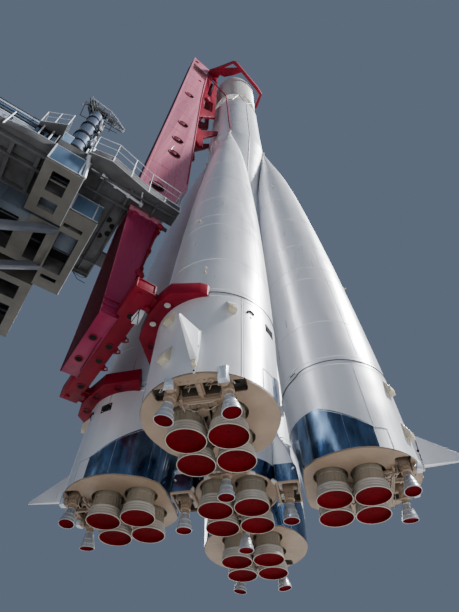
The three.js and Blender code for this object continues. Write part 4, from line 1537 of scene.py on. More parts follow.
    def lattice(self) -> Shape:
        """Builds the open lattice between the core and the upper stage.

        Returns:
            The new object.
        """
        parts = []
        for radius, low, high in ((1335, 25500, 25570), (1285, 26880, 26949)):
            ring = turned([(radius - 90, low), (radius - 6, low), (radius, low + 8), (radius, high - 8),
                (radius - 6, high), (radius - 90, high)], self.sides)
            bore = rod((0, 0, low - 50), (0, 0, high + 50), radius - 88, self.sides)
            parts.append(carved(ring, [bore]))
        for k in range(8):
            foot = polar(1290, 45 * k, 25530)
            for way in (-1, 1):
                parts.append(rod(foot, polar(1240, 22.5 * (2 * k + way), 26920), 30, 16))
            parts.append(bevelled(rod((foot[0], foot[1], 25560), (foot[0], foot[1], 25640), 62, 16), 6))
        return joined(parts)

    def stage(self) -> Shape:
        """Turns the upper stage with its domed bottom and its stiffening rings.

        Returns:
            The new object.
        """
        rows = [(60, 26450), (500, 26500), (800, 26660), (1000, 26951), (1292, 26951), (1294, 27180)]
        z = 27240
        while z < 30400:
            rows += [(1294, z), (1300, z + 10), (1300, z + 46), (1294, z + 56)]
            z += 262
        rows += [(1294, 30480), (1300, 30490), (1300, 30599.4)]
        return turned(rows, self.sides)

    def fairing(self) -> Shape:
        """Turns the long pointed fairing, with the seams of its cone."""
        rows = eased([(1285, 30600), (1205, 31100), (990, 31900), (740, 32900), (500, 33900), (290, 34800),
            (130, 35500), (40, 35830)], 4)
        return turned(seamed([*rows, (4, 35899)], (30760, 31900, 32900, 33900), 9), self.sides)

    def fairing_ribs(self) -> Shape:
        """Lays the four joint strips of the fairing along its cone.

        Returns:
            The new object.
        """
        rows = eased([(1285, 30600), (1205, 31100), (990, 31900), (740, 32900), (500, 33900), (290, 34800),
            (130, 35500)], 3)
        strips = []
        for turn in (45, 135, 225, 315):
            strips.append(pipe([polar(r - 6, turn, z) for r, z in rows], 10, 1))
        return joined(strips)

    def ducts(self) -> Shape:
        """Runs the cable ducts up the tank and the shoulder.

        Returns:
            The new object.
        """
        rows = [(1004, 3050), (1004, 14600), (1443, 19300), (1479, 19700), (1479, 20150), (1424, 22000),
            (1374, 24500), (1356, 25250)]
        parts = []
        for turn in (-48, 42, 132, 222):
            parts.append(pipe([polar(r, turn, z) for r, z in rows], 22, 2))
            for z in (5200, 8200, 11200, 14000):
                clip = boxed((-14, -44, -16), (26, 44, 16), 5)
                clip.data.transform(Matrix.Translation(polar(1006, turn, z)) @ about_z(turn))
                parts.append(clip)
        return joined(parts)

    def build(self) -> None:
        """Builds the core from its base to its nose."""
        def quadrants(name: str, make: Callable[[], Shape], finish: Finish) -> None:
            """Joins four copies of a shape about the axis and settles them as one piece.

            Args:
                name: Name of the piece.
                make: Makes the shape of one side.
                finish: Its finish.
            """
            first = make()
            four = joined([copied(first, about_z(90 * k)) for k in range(4)])
            bpy.data.objects.remove(first)
            Piece(name, four, finish).settle()

        # Painted shade: faces inside the bell wells take the darker well colour.
        wells = lambda at, normal: at.z < 692 and math.hypot(at.x, at.y) < 935
        upper = lambda at, normal: at.z > 935
        accents = ((WELL, wells), (WHITE, upper))
        Piece("core_base_plate", self.base(), KHAKI, replaces=("core_engine",), smooth=25).settle()
        Piece("core_drum", self.drum(), MIRROR, replaces=("core_tail",), smooth=25, accents=accents).settle()
        Piece("core_bells", self.cluster.set_of(self.cluster.bell), BELL).settle()
        Piece("core_bell_covers", self.cluster.set_of(self.cluster.cover), COVER).settle()
        quadrants("core_ears", self.ear, KHAKI)
        quadrants("core_ear_fittings", self.ear_fittings, BELL)
        quadrants("core_ties", self.ties, WHITE)
        quadrants("core_struts", self.strut, WHITE)
        quadrants("core_sockets", self.sockets, CREAM)
        Piece("core_ducts", self.ducts(), WHITE).settle()
        Piece("fairing_strips", self.fairing_ribs(), WHITE).settle()
        for name, make, finish, node in (
            ("core_tank_skin", self.tank, WHITE, "core_tank"),
            ("core_shoulder_skin", self.shoulder, WHITE, "core_shoulder"),
            ("lattice_frame", self.lattice, RIBBED, "interstage_truss"),
            ("stage_shell", self.stage, RIBBED, "upper_stage"),
            ("fairing_shell", self.fairing, WHITE, "payload_fairing"),
        ):
            Piece(name, make(), finish, replaces=(node,)).settle()
        unit = SteeringChamber((1171, 0, 620), 785, 0, (975.8, 1364.2))
        for make, name, finish in ((unit.chamber, "", BLUE_GREY), (unit.cover, "_cover", COVER),
                (unit.yoke, "_yoke", KHAKI)):
            first = make()
            for k in range(4):
                body = f"core_vernier_{k + 1}"
                twin = copied(first, Matrix.Identity(4))
                Piece(f"{body}_chamber{name}", twin, finish, body, () if name else (body,)).settle(90 * k)
            bpy.data.objects.remove(first)


@dataclass
class TurnedAssembly:
    """A sub-assembly that is drawn with X towards the boom, and turned to its azimuth as it settles."""

    azimuth: float = 225

    def local(self, node: str, width: float) -> Shape:
        """Copies a CAD node with rounded edges, turned back so that X points to the boom.

        Args:
            node: The node's name.
            width: Width of the rounding.

        Returns:
            The new object.
        """
        shape = refined(node, width)
        shape.data.transform(about_z(-self.azimuth))
        return shape

    def settle(
        self,
        name: str,
        shape: Shape,
        finish: Finish,
        *nodes: str,
        accents: Sequence[tuple[Finish, FaceTest]] = (),
        slot: str = "",
    ) -> None:
        """Settles one piece in the turned frame.

        Args:
            name: Name of the piece.
            shape: Its shape.
            finish: Its finish.
            nodes: CAD nodes that it replaces.
            accents: Further finishes, and the faces that take them.
            slot: The slot name kept on the piece, where it isn't the finish's own.
        """
        Piece(name, shape, finish, ROOT, nodes, 30, accents, slot).settle(self.azimuth)

    def settle_nodes(self, rows: Iterable[tuple[str, str, float, Finish]], *accents: tuple[Finish, FaceTest]) -> None:
        """Settles pieces that are their CAD nodes with rounded edges.

        Args:
            rows: Name, node, width of the rounding and finish of each piece.
            accents: Further finishes, and the faces that take them.
        """
        for name, node, width, finish in rows:
            self.settle(name, self.local(node, width), finish, node, accents=accents)


@dataclass
class Gantry(TurnedAssembly):
    """The red boom with its arm, yoke, clamps, cradle, head and hoops, X towards the boom."""

    holes: tuple[tuple[float, float], ...] = ((3360, 23100), (3330, 18400), (3390, 16200), (3400, 14600),
        (3750, 11100))

    def hole_rims(self) -> Shape:
        """Turns a raised rim round each hole of the boom's sides.

        Returns:
            The new object.
        """
        rims = []
        for side in (-1, 1):
            for x, z in self.holes:
                rim = turned([(248, 0), (292, 0), (292, 14), (284, 22), (256, 22), (248, 14)], 40)
                bore = rod((0, 0, -30), (0, 0, 60), 246, 40)
                rim = carved(rim, [bore])
                rims.append(moved(rim, x, side * 449, z, -90 * side))
        return joined(rims)

    def hole_floors(self) -> Shape:
        """Sets a dark dished plate at the bottom of each hole, as painted shade that makes the shallow holes read as
        deep.

        Returns:
            The new object.
        """
        floors = []
        for side in (-1, 1):
            for x, z in self.holes:
                disc = turned([(246, 0), (246, 16), (200, 22), (40, 26)], 40)
                floors.append(moved(disc, x, side * 331, z, -90 * side))
        return joined(floors)

    def boom_plates(self) -> Shape:
        """Lays the edge flanges, splice plates and stiffeners on the boom's sides.

        Returns:
            The new object.
        """
        parts = []
        outer = [(4420, 8700), (4400, 11300), (4080, 19000), (3620, 31500)]
        inner = [(3400, 8760), (2560, 12140), (2600, 24000), (2424, 30000)]
        for side in (-1, 1):
            y = side * 450
            for chain, way in ((outer, -1), (inner, 1)):
                for (xa, za), (xb, zb) in pairwise(chain):
                    strip = drawn([(xa, y - 12, za), (xb, y - 12, zb), (xb + way * 90, y - 12, zb),
                        (xa + way * 90, y - 12, za)], (0, 24, 0))
                    parts.append(bevelled(strip, 5))
            for z in (12900, 17250, 19800, 21600, 24800, 26900, 28900):
                xa = 2600 if z <= 24000 else 2600 - 176 * (z - 24000) / 6000
                xb = 4080 - 460 * (z - 19000) / 12500 if z > 19000 else 4400 - 320 * (z - 11300) / 7700
                parts.append(boxed((xa + 60, y - 4, z - 34), (xb - 60, y + 4, z + 34), 2))
        return joined(parts)

    def bolts(self) -> Shape:
        """Sets rows of bolt heads along the splices of the boom.

        Returns:
            The new object.
        """
        first = bevelled(rod((0, 0, 0), (0, 14, 0), 15, 8), 3)
        heads = []
        for side in (-1, 1):
            for z in (12900, 17250, 19800, 21600, 24800, 26900, 28900):
                for k in range(7):
                    heads.append(copied(first, Matrix.Translation((2740 + k * 165, side * 466 - 7, z))))
        bpy.data.objects.remove(first)
        return joined(heads)

    def head_recess(self) -> Shape:
        """Lays a thin plate in shaded red as painted shade of the recess near the boom's head, with its lit edge
        strips and three small ports in near-black painted shade.

        Returns:
            The new object.
        """
        parts = []
        corners = [(3560, 29900), (2560, 29300), (2600, 27750), (3540, 28700)]
        for side in (-1, 1):
            low, high = sorted((side * 446, side * 458))
            parts.append(painted(drawn([(x, low, z) for x, z in corners], (0, high - low, 0)), DARK_RED))
            for (xa, za), (xb, zb) in ((corners[0], corners[1]), (corners[3], corners[2])):
                parts.append(painted(rod((xa, side * 458, za), (xb, side * 458, zb), 22, 10), BOOM_RED))
            for x, z in ((2800, 28500), (3080, 28900), (3340, 29250)):
                parts.append(painted(rod((x, side * 450, z), (x, side * 464, z), 90, 20), DARK))
        return joined(parts)

    def top_gear(self) -> Shape:
        """Builds the round sheaves and the pins near the head of the boom.

        Returns:
            The new object.
        """
        parts = []
        for x, z, radius in ((3360, 30700, 150), (2900, 27000, 110)):
            for side in (-1, 1):
                tread = [(radius, 0), (radius, 18), (radius - 22, 30), (radius - 40, 18), (radius - 90, 14)]
                wheel = turned([*tread, (50, 20), (48, 36), (20, 40)], 40)
                parts.append(moved(wheel, x, side * 452, z, -90 * side))
        return joined(parts)

    def hoses(self) -> Shape:
        """Runs the red service pipe from the head down the boom's inner edge.

        Returns:
            The new object.
        """
        runs = [
            pipe([(2480, 455, 29180), (1900, 704, 27400), (1380, 930, 25800), (1294, 975, 25400), (1240, 1030, 23800),
            (1150, 1130, 20900), (1098, 1166, 19800)], 34),
            pipe([(2420, 452, 30600), (2520, 458, 29000), (2610, 458, 26500), (2640, 458, 24000), (2620, 458, 18000),
            (2610, 458, 12600)], 26),
        ]
        return joined(runs)

    def arm_ribs(self) -> Shape:
        """Lays flanges along the arm's edges, its hinge gear at the boom and the stepped block at its foot.

        Returns:
            The new object.
        """
        parts = []
        rows = [(3975, 4400, 1150, 2900), (3870, 4390, 1000, 3900), (3410, 4410, 440, 8690)]
        for side in (-1, 1):
            for which in (0, 1):
                for a, b in pairwise(rows):
                    parts.append(rod((a[which], side * (a[2] - 6), a[3]), (b[which], side * (b[2] - 6), b[3]), 20,
                        12))
            parts.append(bevelled(rod((4190, side * 440, 8560), (4190, side * 500, 8560), 130, 32), 10))
            parts.append(bevelled(rod((3640, side * 440, 8560), (3640, side * 490, 8560), 90, 32), 8))
            for k in range(3):
                y, z = side * (1144 - 26 * k), 2980 + 250 * k
                low, high = sorted((y - side * 30, y + side * 12))
                parts.append(boxed((4012 - 24 * k, low, z), (4384, high, z + 70), 10))
            for x in (3560, 3900, 4230):
                parts.append(bevelled(boxed((x - 50, side * 448 - 12, 8420), (x + 50, side * 448 + 16, 8680)), 8))
        return joined(parts)

    def arm_rod(self) -> Shape:
        """Builds the hydraulic rod with its collars and knobs along the arm's inner edge.

        Returns:
            The new object.
        """
        top, low = Vector((3330, 330, 8560)), Vector((3690, 700, 5250))
        parts = []
        for shift in (0, 150):
            a, b = top + Vector((0, -shift, 0)), low + Vector((0, -shift, 0))
            parts.append(rod(tuple(a), tuple(b), 62, 16))
            for share in (0.06, 0.5, 0.86, 0.97):
                at = a.lerp(b, share)
                way = (b - a).normalized() * 60
                parts.append(bevelled(rod(tuple(at - way), tuple(at + way), 104, 16), 12))
        for y in (330, 560):
            parts.append(bevelled(rod((3400, y, 8450), (3230, y, 8380), 110, 20, 84), 14))
            parts.append(bevelled(rod((3740, y + 240, 5300), (3560, y + 240, 5180), 118, 20, 90), 14))
        parts.append(bevelled(boxed((3560, 420, 5180), (3800, 880, 5330)), 20))
        return joined(parts)

    def yoke_holes(self) -> Shape:
        """Sets near-black dished discs as painted shade of the round holes under the arm, the yoke and the clamps,
        and a near-black strip as the painted shadow between arm and yoke.

        Returns:
            The new object.
        """
        parts = []
        under_arm = [(4205, 340), (4200, -490)]
        under_yoke = [(3760, 230), (3760, -340), (3760, 1350), (3760, -1450)]
        for spots, height in ((under_arm, 2899), (under_yoke, 2949)):
            for x, y in spots:
                rows = [(52, height + 6), (70, height + 4), (84, height - 2), (84, height - 9), (4, height - 5)]
                parts.append(moved(turned(rows, 28), x, y))
        parts.append(drawn([(4038, 452, 2888), (4050, 440, 2888), (4012, -870, 2888), (3998, -860, 2888)],
            (0, 0, 14)))
        parts += [drawn([(3520, 1205, 2928), (3536, 1195, 2928), (3708, 1650, 2928), (3692, 1660, 2928)], (0, 0, 10)),
                  drawn([(3672, 1165, 2928), (3688, 1160, 2928), (3690, 1655, 2928), (3674, 1660, 2928)], (0, 0, 10))]
        return joined(parts)

    def yoke_plates(self) -> Shape:
        """Lays the pale plates under the yoke's camera end, and discs in the clamps' large holes: pale ones as
        painted light in two holes, dark red ones as painted shade in the rest.

        Returns:
            The new object.
        """
        parts = [bevelled(drawn([(3736, 1345, 2934), (3700, 1650, 2934), (3560, 1668, 2934), (3515, 1215, 2934),
            (3668, 1175, 2934)], (0, 0, 14)), 4)]
        for side in (-1, 1):
            for x, y in ((3270, 2150), (3275, 1500), (2970, 880)):
                disc = turned([(66, 2862), (72, 2856), (72, 2852), (50, 2856), (10, 2858)], 28)
                # Pale discs stand as painted light in the two lit holes, dark red ones as painted shade in the rest.
                parts.append(painted(moved(disc, x, side * y), RIBBED if side > 0 and y > 1000 else DARK_RED))
        return joined([part if part.data.materials else painted(part, RAIL) for part in parts])

    @staticmethod
    def small_rim() -> Shape:
        """Turns the flat rim of a small round hole."""
        return carved(turned([(88, 0), (112, 0), (112, 12), (88, 12)], 28), [rod((0, 0, -20), (0, 0, 40), 86, 28)])

    def yoke_fittings(self) -> Shape:
        """Sets hole rims, hooks, end caps and pins on the yoke and the clamps.

        Returns:
            The new object.
        """
        parts = []
        for x, y, z in ((4205, 340, 2899), (4200, -490, 2899), (3760, 230, 2949), (3760, -340, 2949),
                (3760, 1350, 2949), (3760, -1450, 2949)):
            parts.append(moved(self.small_rim(), x, y, z, 180))
        for y in (590, 150, -560):
            parts.append(pipe([(3590, y - 60, 3000), (3500, y - 80, 2990), (3450, y - 10, 2980), (3480, y + 50, 2990),
                (3590, y + 40, 3000)], 17))
            parts.append(boxed((3530, y - 90, 2956), (3602, y + 70, 3040), 8))
            parts.append(bevelled(rod((3560, y - 10, 2930), (3560, y - 10, 3060), 40, 14), 5))
        for side in (-1, 1):
            parts.append(bevelled(rod((3560, side * 1750, 2900), (3560, side * 1750, 3360), 72, 28), 8))
            parts.append(bevelled(rod((3900, side * 2010, 2915), (3900, side * 2010, 3335), 58, 24), 7))
            for z in (2962, 3262):
                parts.append(boxed((3600, side * 2146 - 22, z), (4050, side * 2146 + 22, z + 26), 5))
            for x in (3600, 4024):
                parts.append(boxed((x, side * 2146 - 22, 2962), (x + 26, side * 2146 + 22, 3288), 5))
            for x, y in ((2970, 880), (3275, 1500), (3270, 2150)):
                for z, flip in ((3200, 0), (2850, 180)):
                    parts.append(moved(self.small_rim(), x, side * y, z, flip))
            for y in (1640, 1790, 2060):
                parts.append(rod((3300, side * y, 3090), (3600, side * (y - 60), 3090), 26, 12))
                parts.append(rod((3300, side * (y - 60), 2930), (3600, side * y, 3000), 20, 12))
        return joined(parts)

    def head_fittings(self) -> Shape:
        """Sets the rims, cross tubes and pins on the head frame and the hoops.

        Returns:
            The new object.
        """
        parts = []
        for z in (21200, 23300, 25400, 27500, 29600):
            parts.append(rod((2380, -440, z), (2380, 440, z), 34, 16))
        for side in (-1, 1):
            parts.append(bevelled(rod((2423, side * 340, 30420), (2423, side * 340, 30740), 66, 24), 8))
            parts.append(bevelled(rod((-1600, side * 300, 30440), (-1600, side * 300, 30720), 60, 24), 8))
            parts.append(bevelled(rod((1250, side * 1900, 30440), (1250, side * 1900, 30720), 44, 24), 6))
        return joined(parts)

    def build(self) -> None:
        """Builds the gantry."""
        # Painted shade: faces that point outward along X take the shaded red.
        outer = lambda at, normal: normal.x > 0.55
        self.settle_nodes([("boom_box", "gantry_boom", 14, BOOM_RED), ("arm_box", "gantry_arm", 14, ARM_RED)],
            (DARK_RED, outer))
        # The bars deep in the two pockets take the well colour as painted shade.
        self.settle_nodes([("yoke_beam", "gantry_yoke", 12, RED), ("cradle_frame", "gantry_cradle", 8, RED),
                           ("head_frame", "gantry_head", 7, RED)])
        for side in ("front", "left"):
            self.settle_nodes([(f"clamp_{side}", f"gantry_clamp_{side}", 8, RED),
                (f"hoop_{side}", f"gantry_hoop_{side}", 9, RED)])
        self.settle("boom_hole_floors", self.hole_floors(), DARK, slot="red_paint")
        self.settle("yoke_plates", self.yoke_plates(), RAIL, slot="white_paint")
        # The arm's flanges and gear take the same painted shade on their outward faces.
        self.settle("arm_ribs", self.arm_ribs(), ARM_RED, accents=[(DARK_RED, outer)])
        for name, make, finish in (
            # The hole rims are in shaded red as painted shade round the holes.
            ("boom_rims", self.hole_rims, DARK_RED), ("boom_plates", self.boom_plates, BOOM_RED),
            ("boom_bolts", self.bolts, BOOM_RED),
            ("boom_head_recess", self.head_recess, DARK_RED), ("boom_sheaves", self.top_gear, RED),
            ("boom_pipes", self.hoses, RED),
            ("yoke_fittings", self.yoke_fittings, RED), ("yoke_holes", self.yoke_holes, DARK),
            ("arm_rod", self.arm_rod, RED),
            ("head_fittings", self.head_fittings, RED),
        ):
            self.settle(name, make(), finish)


@dataclass
class Stand(TurnedAssembly):
    """Deck with its railings, box frames, legs, slab and stepped mast, X towards the boom."""

    deck_top: float = 9350
    mast_x: float = 6750
    rail_height: float = 1050
    inner_windows: tuple[tuple[float, float, float, float], ...] = (
        (5320, 5930, -780, -640), (5320, 5930, -2640, -1000), (5320, 5850, -3030, -2880))
    outer_windows: tuple[tuple[float, float, float, float], ...] = ((6310, 6835, 80, 765), (6320, 6835, -590, -200))
    front_edge: tuple[tuple[float, float], ...] = ((2990, 520), (2990, 1040), (4140, 1105), (5510, 1395),
        (6180, 1280), (6180, 1100))
    back_edge: tuple[tuple[float, float], ...] = ((9550, 560), (9550, -6450), (6030, -6450), (6030, -3560),
        (5050, -3550), (5050, -3010))

    def railing(self, line: Sequence[tuple[float, float]]) -> Shape:
        """Runs two rails along a line on the deck, with posts and a toe board.

        Args:
            line: Corners of the line.

        Returns:
            The railing.
        """
        parts = []
        for height, radius in ((self.rail_height, 17), (self.rail_height * 0.55, 11)):
            parts.append(pipe([(x, y, self.deck_top + height) for x, y in line], radius, 2))
        for (xa, ya), (xb, yb) in pairwise(line):
            length = math.hypot(xb - xa, yb - ya)
            count = max(1, round(length / 900))
            for k in range(count + 1):
                x, y = xa + (xb - xa) * k / count, ya + (yb - ya) * k / count
                parts.append(rod((x, y, self.deck_top - 10), (x, y, self.deck_top + self.rail_height), 16, 12))
                parts.append(bevelled(rod((x, y, self.deck_top - 2), (x, y, self.deck_top + 16), 52, 12), 4))
        return joined(parts)

    def fascia(self) -> Shape:
        """Runs the light strips along the deck's edge.

        Returns:
            The new object.
        """
        edge = [(2950, 480), (2950, 1080), (4140, 1150), (5510, 1440), (6220, 1320), (6220, 1060)]
        rest = [(7170, 800), (7900, 800), (9600, 600)]
        parts = []
        for z in (8990, 9310):
            parts.append(pipe([(x, y, z) for x, y in edge], 22, 1))
        parts.append(pipe([(x, y, 9325) for x, y in rest], 22, 1))
        for (xa, ya), (xb, yb) in pairwise(edge):
            count = max(1, round(math.hypot(xb - xa, yb - ya) / 700))
            for k in range(count):
                x, y = xa + (xb - xa) * k / count, ya + (yb - ya) * k / count
                parts.append(rod((x, y, 8980), (x, y, 9320), 20, 10))
        return joined(parts)

    def girders(self) -> Shape:
        """Hangs the ribs and cross girders under the deck.

        Returns:
            The new object.
        """
        parts = []
        for x in (3700, 4600, 5500):
            parts.append(boxed((x - 40, 0, 8830), (x + 40, 1000, 8952), 8))
        for x in (7400, 8200, 9000):
            parts.append(boxed((x - 60, -3500, 8760), (x + 60, 560, 8952), 10))
        for y in (-2850, -1900, -950, 0, 520):
            parts.append(boxed((6100, y - 45, 8700), (9560, y + 45, 8952), 10))
        for y in (300, 900):
            parts.append(boxed((3000, y - 30, 8780), (6100, y + 30, 8952), 8))
        for x in (4480, 4850):
            parts.append(rod((x, -2960, 8900), (x, 200, 8900), 26, 10))
        for y in (-2980, -2840, -2300):
            parts.append(rod((4440, y, 8880), (5060, y, 8880), 30, 10))
        parts.append(boxed((4180, -2300, 8860), (4440, -1700, 8952), 12))
        return joined(parts)

    def dark_holes(self) -> Shape:
        """Sets near-black dished discs as painted shade of the round openings in the deck's underside, and the wires
        at its corner.

        Returns:
            The new object.
        """
        parts = []
        for x, y in ((4770, -440), (4550, -620), (4570, -960), (4790, -1170)):
            parts.append(moved(turned([(96, 8956), (104, 8950), (110, 8944), (92, 8940), (4, 8946)], 28), x, y))
        parts.append(pipe([(5010, -3010, 8935), (4700, -3180, 8800), (4400, -3240, 8840)], 12, 1))
        parts.append(pipe([(4980, -3040, 8900), (4620, -3120, 8900), (4440, -3060, 8940)], 9, 1))
        return joined(parts)

    def lit_girder(self) -> Shape:
        """Builds the inclined bright girder and the pale duct under the deck's front edge.

        Returns:
            The new object.
        """
        parts = []
        a, b = Vector((5560, 905, 8850)), Vector((4140, 690, 8870))
        parts.append(rod(tuple(a), tuple(b), 52, 10))
        for share in (0, 0.33, 0.66, 1):
            at = a.lerp(b, share)
            parts.append(bevelled(boxed(tuple(at + Vector((-50, -70, -60))), tuple(at + Vector((50, 70, 60)))), 10))
        parts.append(rod((5560, 905, 8850), (5960, 930, 8850), 20, 8))
        parts.append(rod((4150, 690, 8860), (4300, 1090, 8860), 26, 10))
        duct = [(6150, 1330, 9300), (6170, 1180, 8900), (6080, 1060, 8640), (6010, 1010, 7960)]
        parts.append(pipe(duct, 60, 2))
        return joined(parts)

    def trays(self) -> Shape:
        """Sets the blue-grey trays with white rims on the camera side of the two box frames.

        Returns:
            The new object.
        """
        parts = []
        for x0, x1, y, z0, z1 in ((6030, 7110, 1020, 7960, 8930), (5100, 5960, -130, 7960, 8930)):
            parts.append(painted(boxed((x0, y - 4, z0), (x1, y + 10, z1), 3), PANEL))
            for z in (z0, z1 - 30):
                parts.append(painted(boxed((x0 - 26, y - 4, z), (x1 + 26, y + 24, z + 22), 5), RAIL))
            for x in (x0 + 130, x1 - 14):
                parts.append(painted(boxed((x, y - 4, z0), (x + 40, y + 40, z1), 6), RAIL))
        for x, y0, y1 in ((5998, -840, 1010), (5068, -3460, -140)):
            parts.append(painted(boxed((x - 16, y0, 7896), (x + 10, y1, 7926), 4), RAIL))
        return joined(parts)

    def framed(self, node: str, windows: Sequence[tuple[float, float, float, float]]) -> Shape:
        """Copies a box frame, and opens its windows to their full size.

        Args:
            node: The CAD node.
            windows: Low and high X, low and high Y of each window.

        Returns:
            The frame.
        """
        return carved(self.local(node, 12), [boxed((a, c, 7850), (b, d, 8900)) for a, b, c, d in windows])

    def sills(self) -> Shape:
        """Lays the lower face plates of the box frames, with the windows cut to their seen outlines.

        Returns:
            The new object.
        """
        plates = (
            ((5074, 5984, -3466, -134), self.inner_windows),
            ((6006, 7134, -844, 1014), self.outer_windows),
            ((6610, 6900, -2700, -1200), ()),
        )
        parts = []
        for (a, b, c, d), windows in plates:
            left, right = (min(w[0] for w in windows), max(w[1] for w in windows)) if windows else (b, b)
            spans = [(a, left, c, d), (right, b, c, d)]
            low = c
            for x0, x1, y0, y1 in sorted(windows, key=lambda w: w[2]):
                spans += [(left, right, low, y0), (left, x0, y0, y1), (x1, right, y0, y1)]
                low = y1
            spans.append((left, right, low, d))
            parts += [boxed((x0, y0, 7884), (x1, y1, 7901)) for x0, x1, y0,
                y1 in spans if x1 - x0 > 1 and y1 - y0 > 1]
        parts.append(boxed((6290, 395, 7960), (6850, 440, 8040), 5))
        return joined(parts)

    def wing_panels(self) -> Shape:
        """Clads the wing's camera side and its lower border with slate panels.

        Returns:
            The new object.
        """
        parts = [boxed((6010, -952, 7905), (8395, -938, 8945), 4), boxed((6900, -1225, 7886), (8395, -945, 7901), 4)]
        parts += [boxed((x, -944, 7910), (x + 40, -926, 8940), 4) for x in (7200, 7800, 8340)]
        return joined(parts)

    def panes(self) -> Shape:
        """Sets near-black inner panels as painted shade behind the box frames' openings, with the cross bars.

        Returns:
            The new object.
        """
        parts = []
        for x0, x1, y0, y1 in (*self.inner_windows, *self.outer_windows, (6250, 6850, -2600, -1250),
                (7150, 8050, -2600, -1250),
                               (6270, 7200, -4500, -3850), (6270, 7200, -6100, -4900)):
            parts.append(painted(boxed((x0 - 10, y0 - 10, 8600), (x1 + 10, y1 + 10, 8640)), DARK))
            for k in (1, 2):
                y = y0 + (y1 - y0) * k / 3
                parts.append(painted(boxed((x0 - 5, y - 24, 8380), (x1 + 5, y + 24, 8480), 6), SLATE))
        parts.append(painted(boxed((6330, -580, 8120), (6830, -210, 8140), 4), SLATE))
        parts.append(painted(boxed((5330, -1900, 8200), (5920, -1100, 8230), 4), SLATE))
        return joined(parts)

    def parapet(self) -> Shape:
        """Stacks the long slats of the walkway's parapet, light over dark, with posts and pale panels before them.

        Returns:
            The new object.
        """
        parts = []
        core = painted(boxed((7970, 310, 9352), (9540, 560, 10600)), DARK)
        parts.append(core)
        for k, z in enumerate((9420, 9640, 9860, 10060, 10250, 10430, 10590)):
            finish = (SLATE, PANEL, BLUE_GREY)[k % 3]
            parts.append(painted(boxed((7960, 540, z), (9550, 592, z + (90 if k < 6 else 50)), 8), finish))
        for x, y in ((8660, 735), (9380, 650)):
            parts.append(painted(rod((x, y, 8960), (x - 30, y, 9960), 24, 12), RAIL))
        parts.append(painted(boxed((7985, 590, 9370), (8600, 606, 9790), 4), BLUE_GREY))
        parts.append(painted(boxed((8740, 590, 9370), (9330, 606, 9790), 4), BLUE_GREY))
        for z in (9480, 9690):
            parts.append(painted(boxed((7985, 602, z), (9330, 612, z + 16)), PANEL))
        return joined(parts)

    def walkway(self) -> Shape:
        """Builds the cabinet with its posts, the raised platform and the low box beside the mast.

        Returns:
            The new object.
        """
        parts = [painted(boxed((7260, 260, 9352), (7950, 640, 10208), 8), DARK)]
        for x in (7460, 7780):
            parts.append(painted(rod((x, 716, 9200), (x, 700, 10208), 26, 12), RAIL))
        parts.append(painted(rod((7262, 716, 9352), (7262, 716, 10208), 20, 12), STEEL))
        for x in (7320, 7560, 7850):
            parts.append(painted(boxed((x, 640, 9420 + (x % 3) * 60), (x + 80, 654, 9980 - (x % 2) * 60), 6), PANEL))
        for z in (9560, 9900):
            parts.append(painted(boxed((7264, 636, z), (7946, 650, z + 30), 3), SLATE))
        platform = drawn([(7182, 202, 10206), (7948, 202, 10206), (7948, 757, 10206), (7182, 1126, 10206)],
            (0, 0, 82))
        parts.append(painted(bevelled(platform, 10), STEEL))
        rail = [(7948, 240), (7948, 745), (7560, 934), (7190, 1110), (7190, 240)]
        for height, radius in ((900, 15), (480, 11), (10, 26)):
            parts.append(painted(pipe([(x, y, 10260 + height) for x, y in rail], radius, 2), RAIL))
        for x, y in rail:
            parts.append(painted(rod((x, y, 10250), (x, y, 11172), 16, 12), RAIL))
        parts.append(painted(boxed((6882, 642, 9352), (7200, 698, 10558), 8), PANEL))
        parts.append(painted(boxed((6870, 634, 10530), (7212, 708, 10575), 6), RAIL))
        return joined(parts)

    def mast(self) -> Shape:
        """Turns the bright stepped mast with its collars.

        Returns:
            The new object.
        """
        rows = [
            (324, 9351), (324, 10790), (312, 10800), (300, 10870), (300, 12190), (288, 12200), (270, 12260),
            (270, 13190),
            (258, 13200), (240, 13260), (240, 14200), (252, 14210), (252, 14300), (240, 14310), (240, 14640),
            (150, 14661),
        ]
        return moved(turned(rows, 64), self.mast_x)

    def mast_rings(self) -> Shape:
        """Turns the dark collars round the mast.

        Returns:
            The new object.
        """
        rings = []
        for z, radius, tall in ((9700, 326, 60), (10830, 330, 110), (11500, 303, 40), (12230, 306, 120),
                (13230, 276, 120), (14020, 244, 50)):
            low, high = z - tall / 2, z + tall / 2
            ring = turned([(radius - 20, low), (radius + 22, low + 8), (radius + 22, high - 8), (radius - 20, high)],
                48)
            rings.append(moved(ring, self.mast_x))
        return joined(rings)

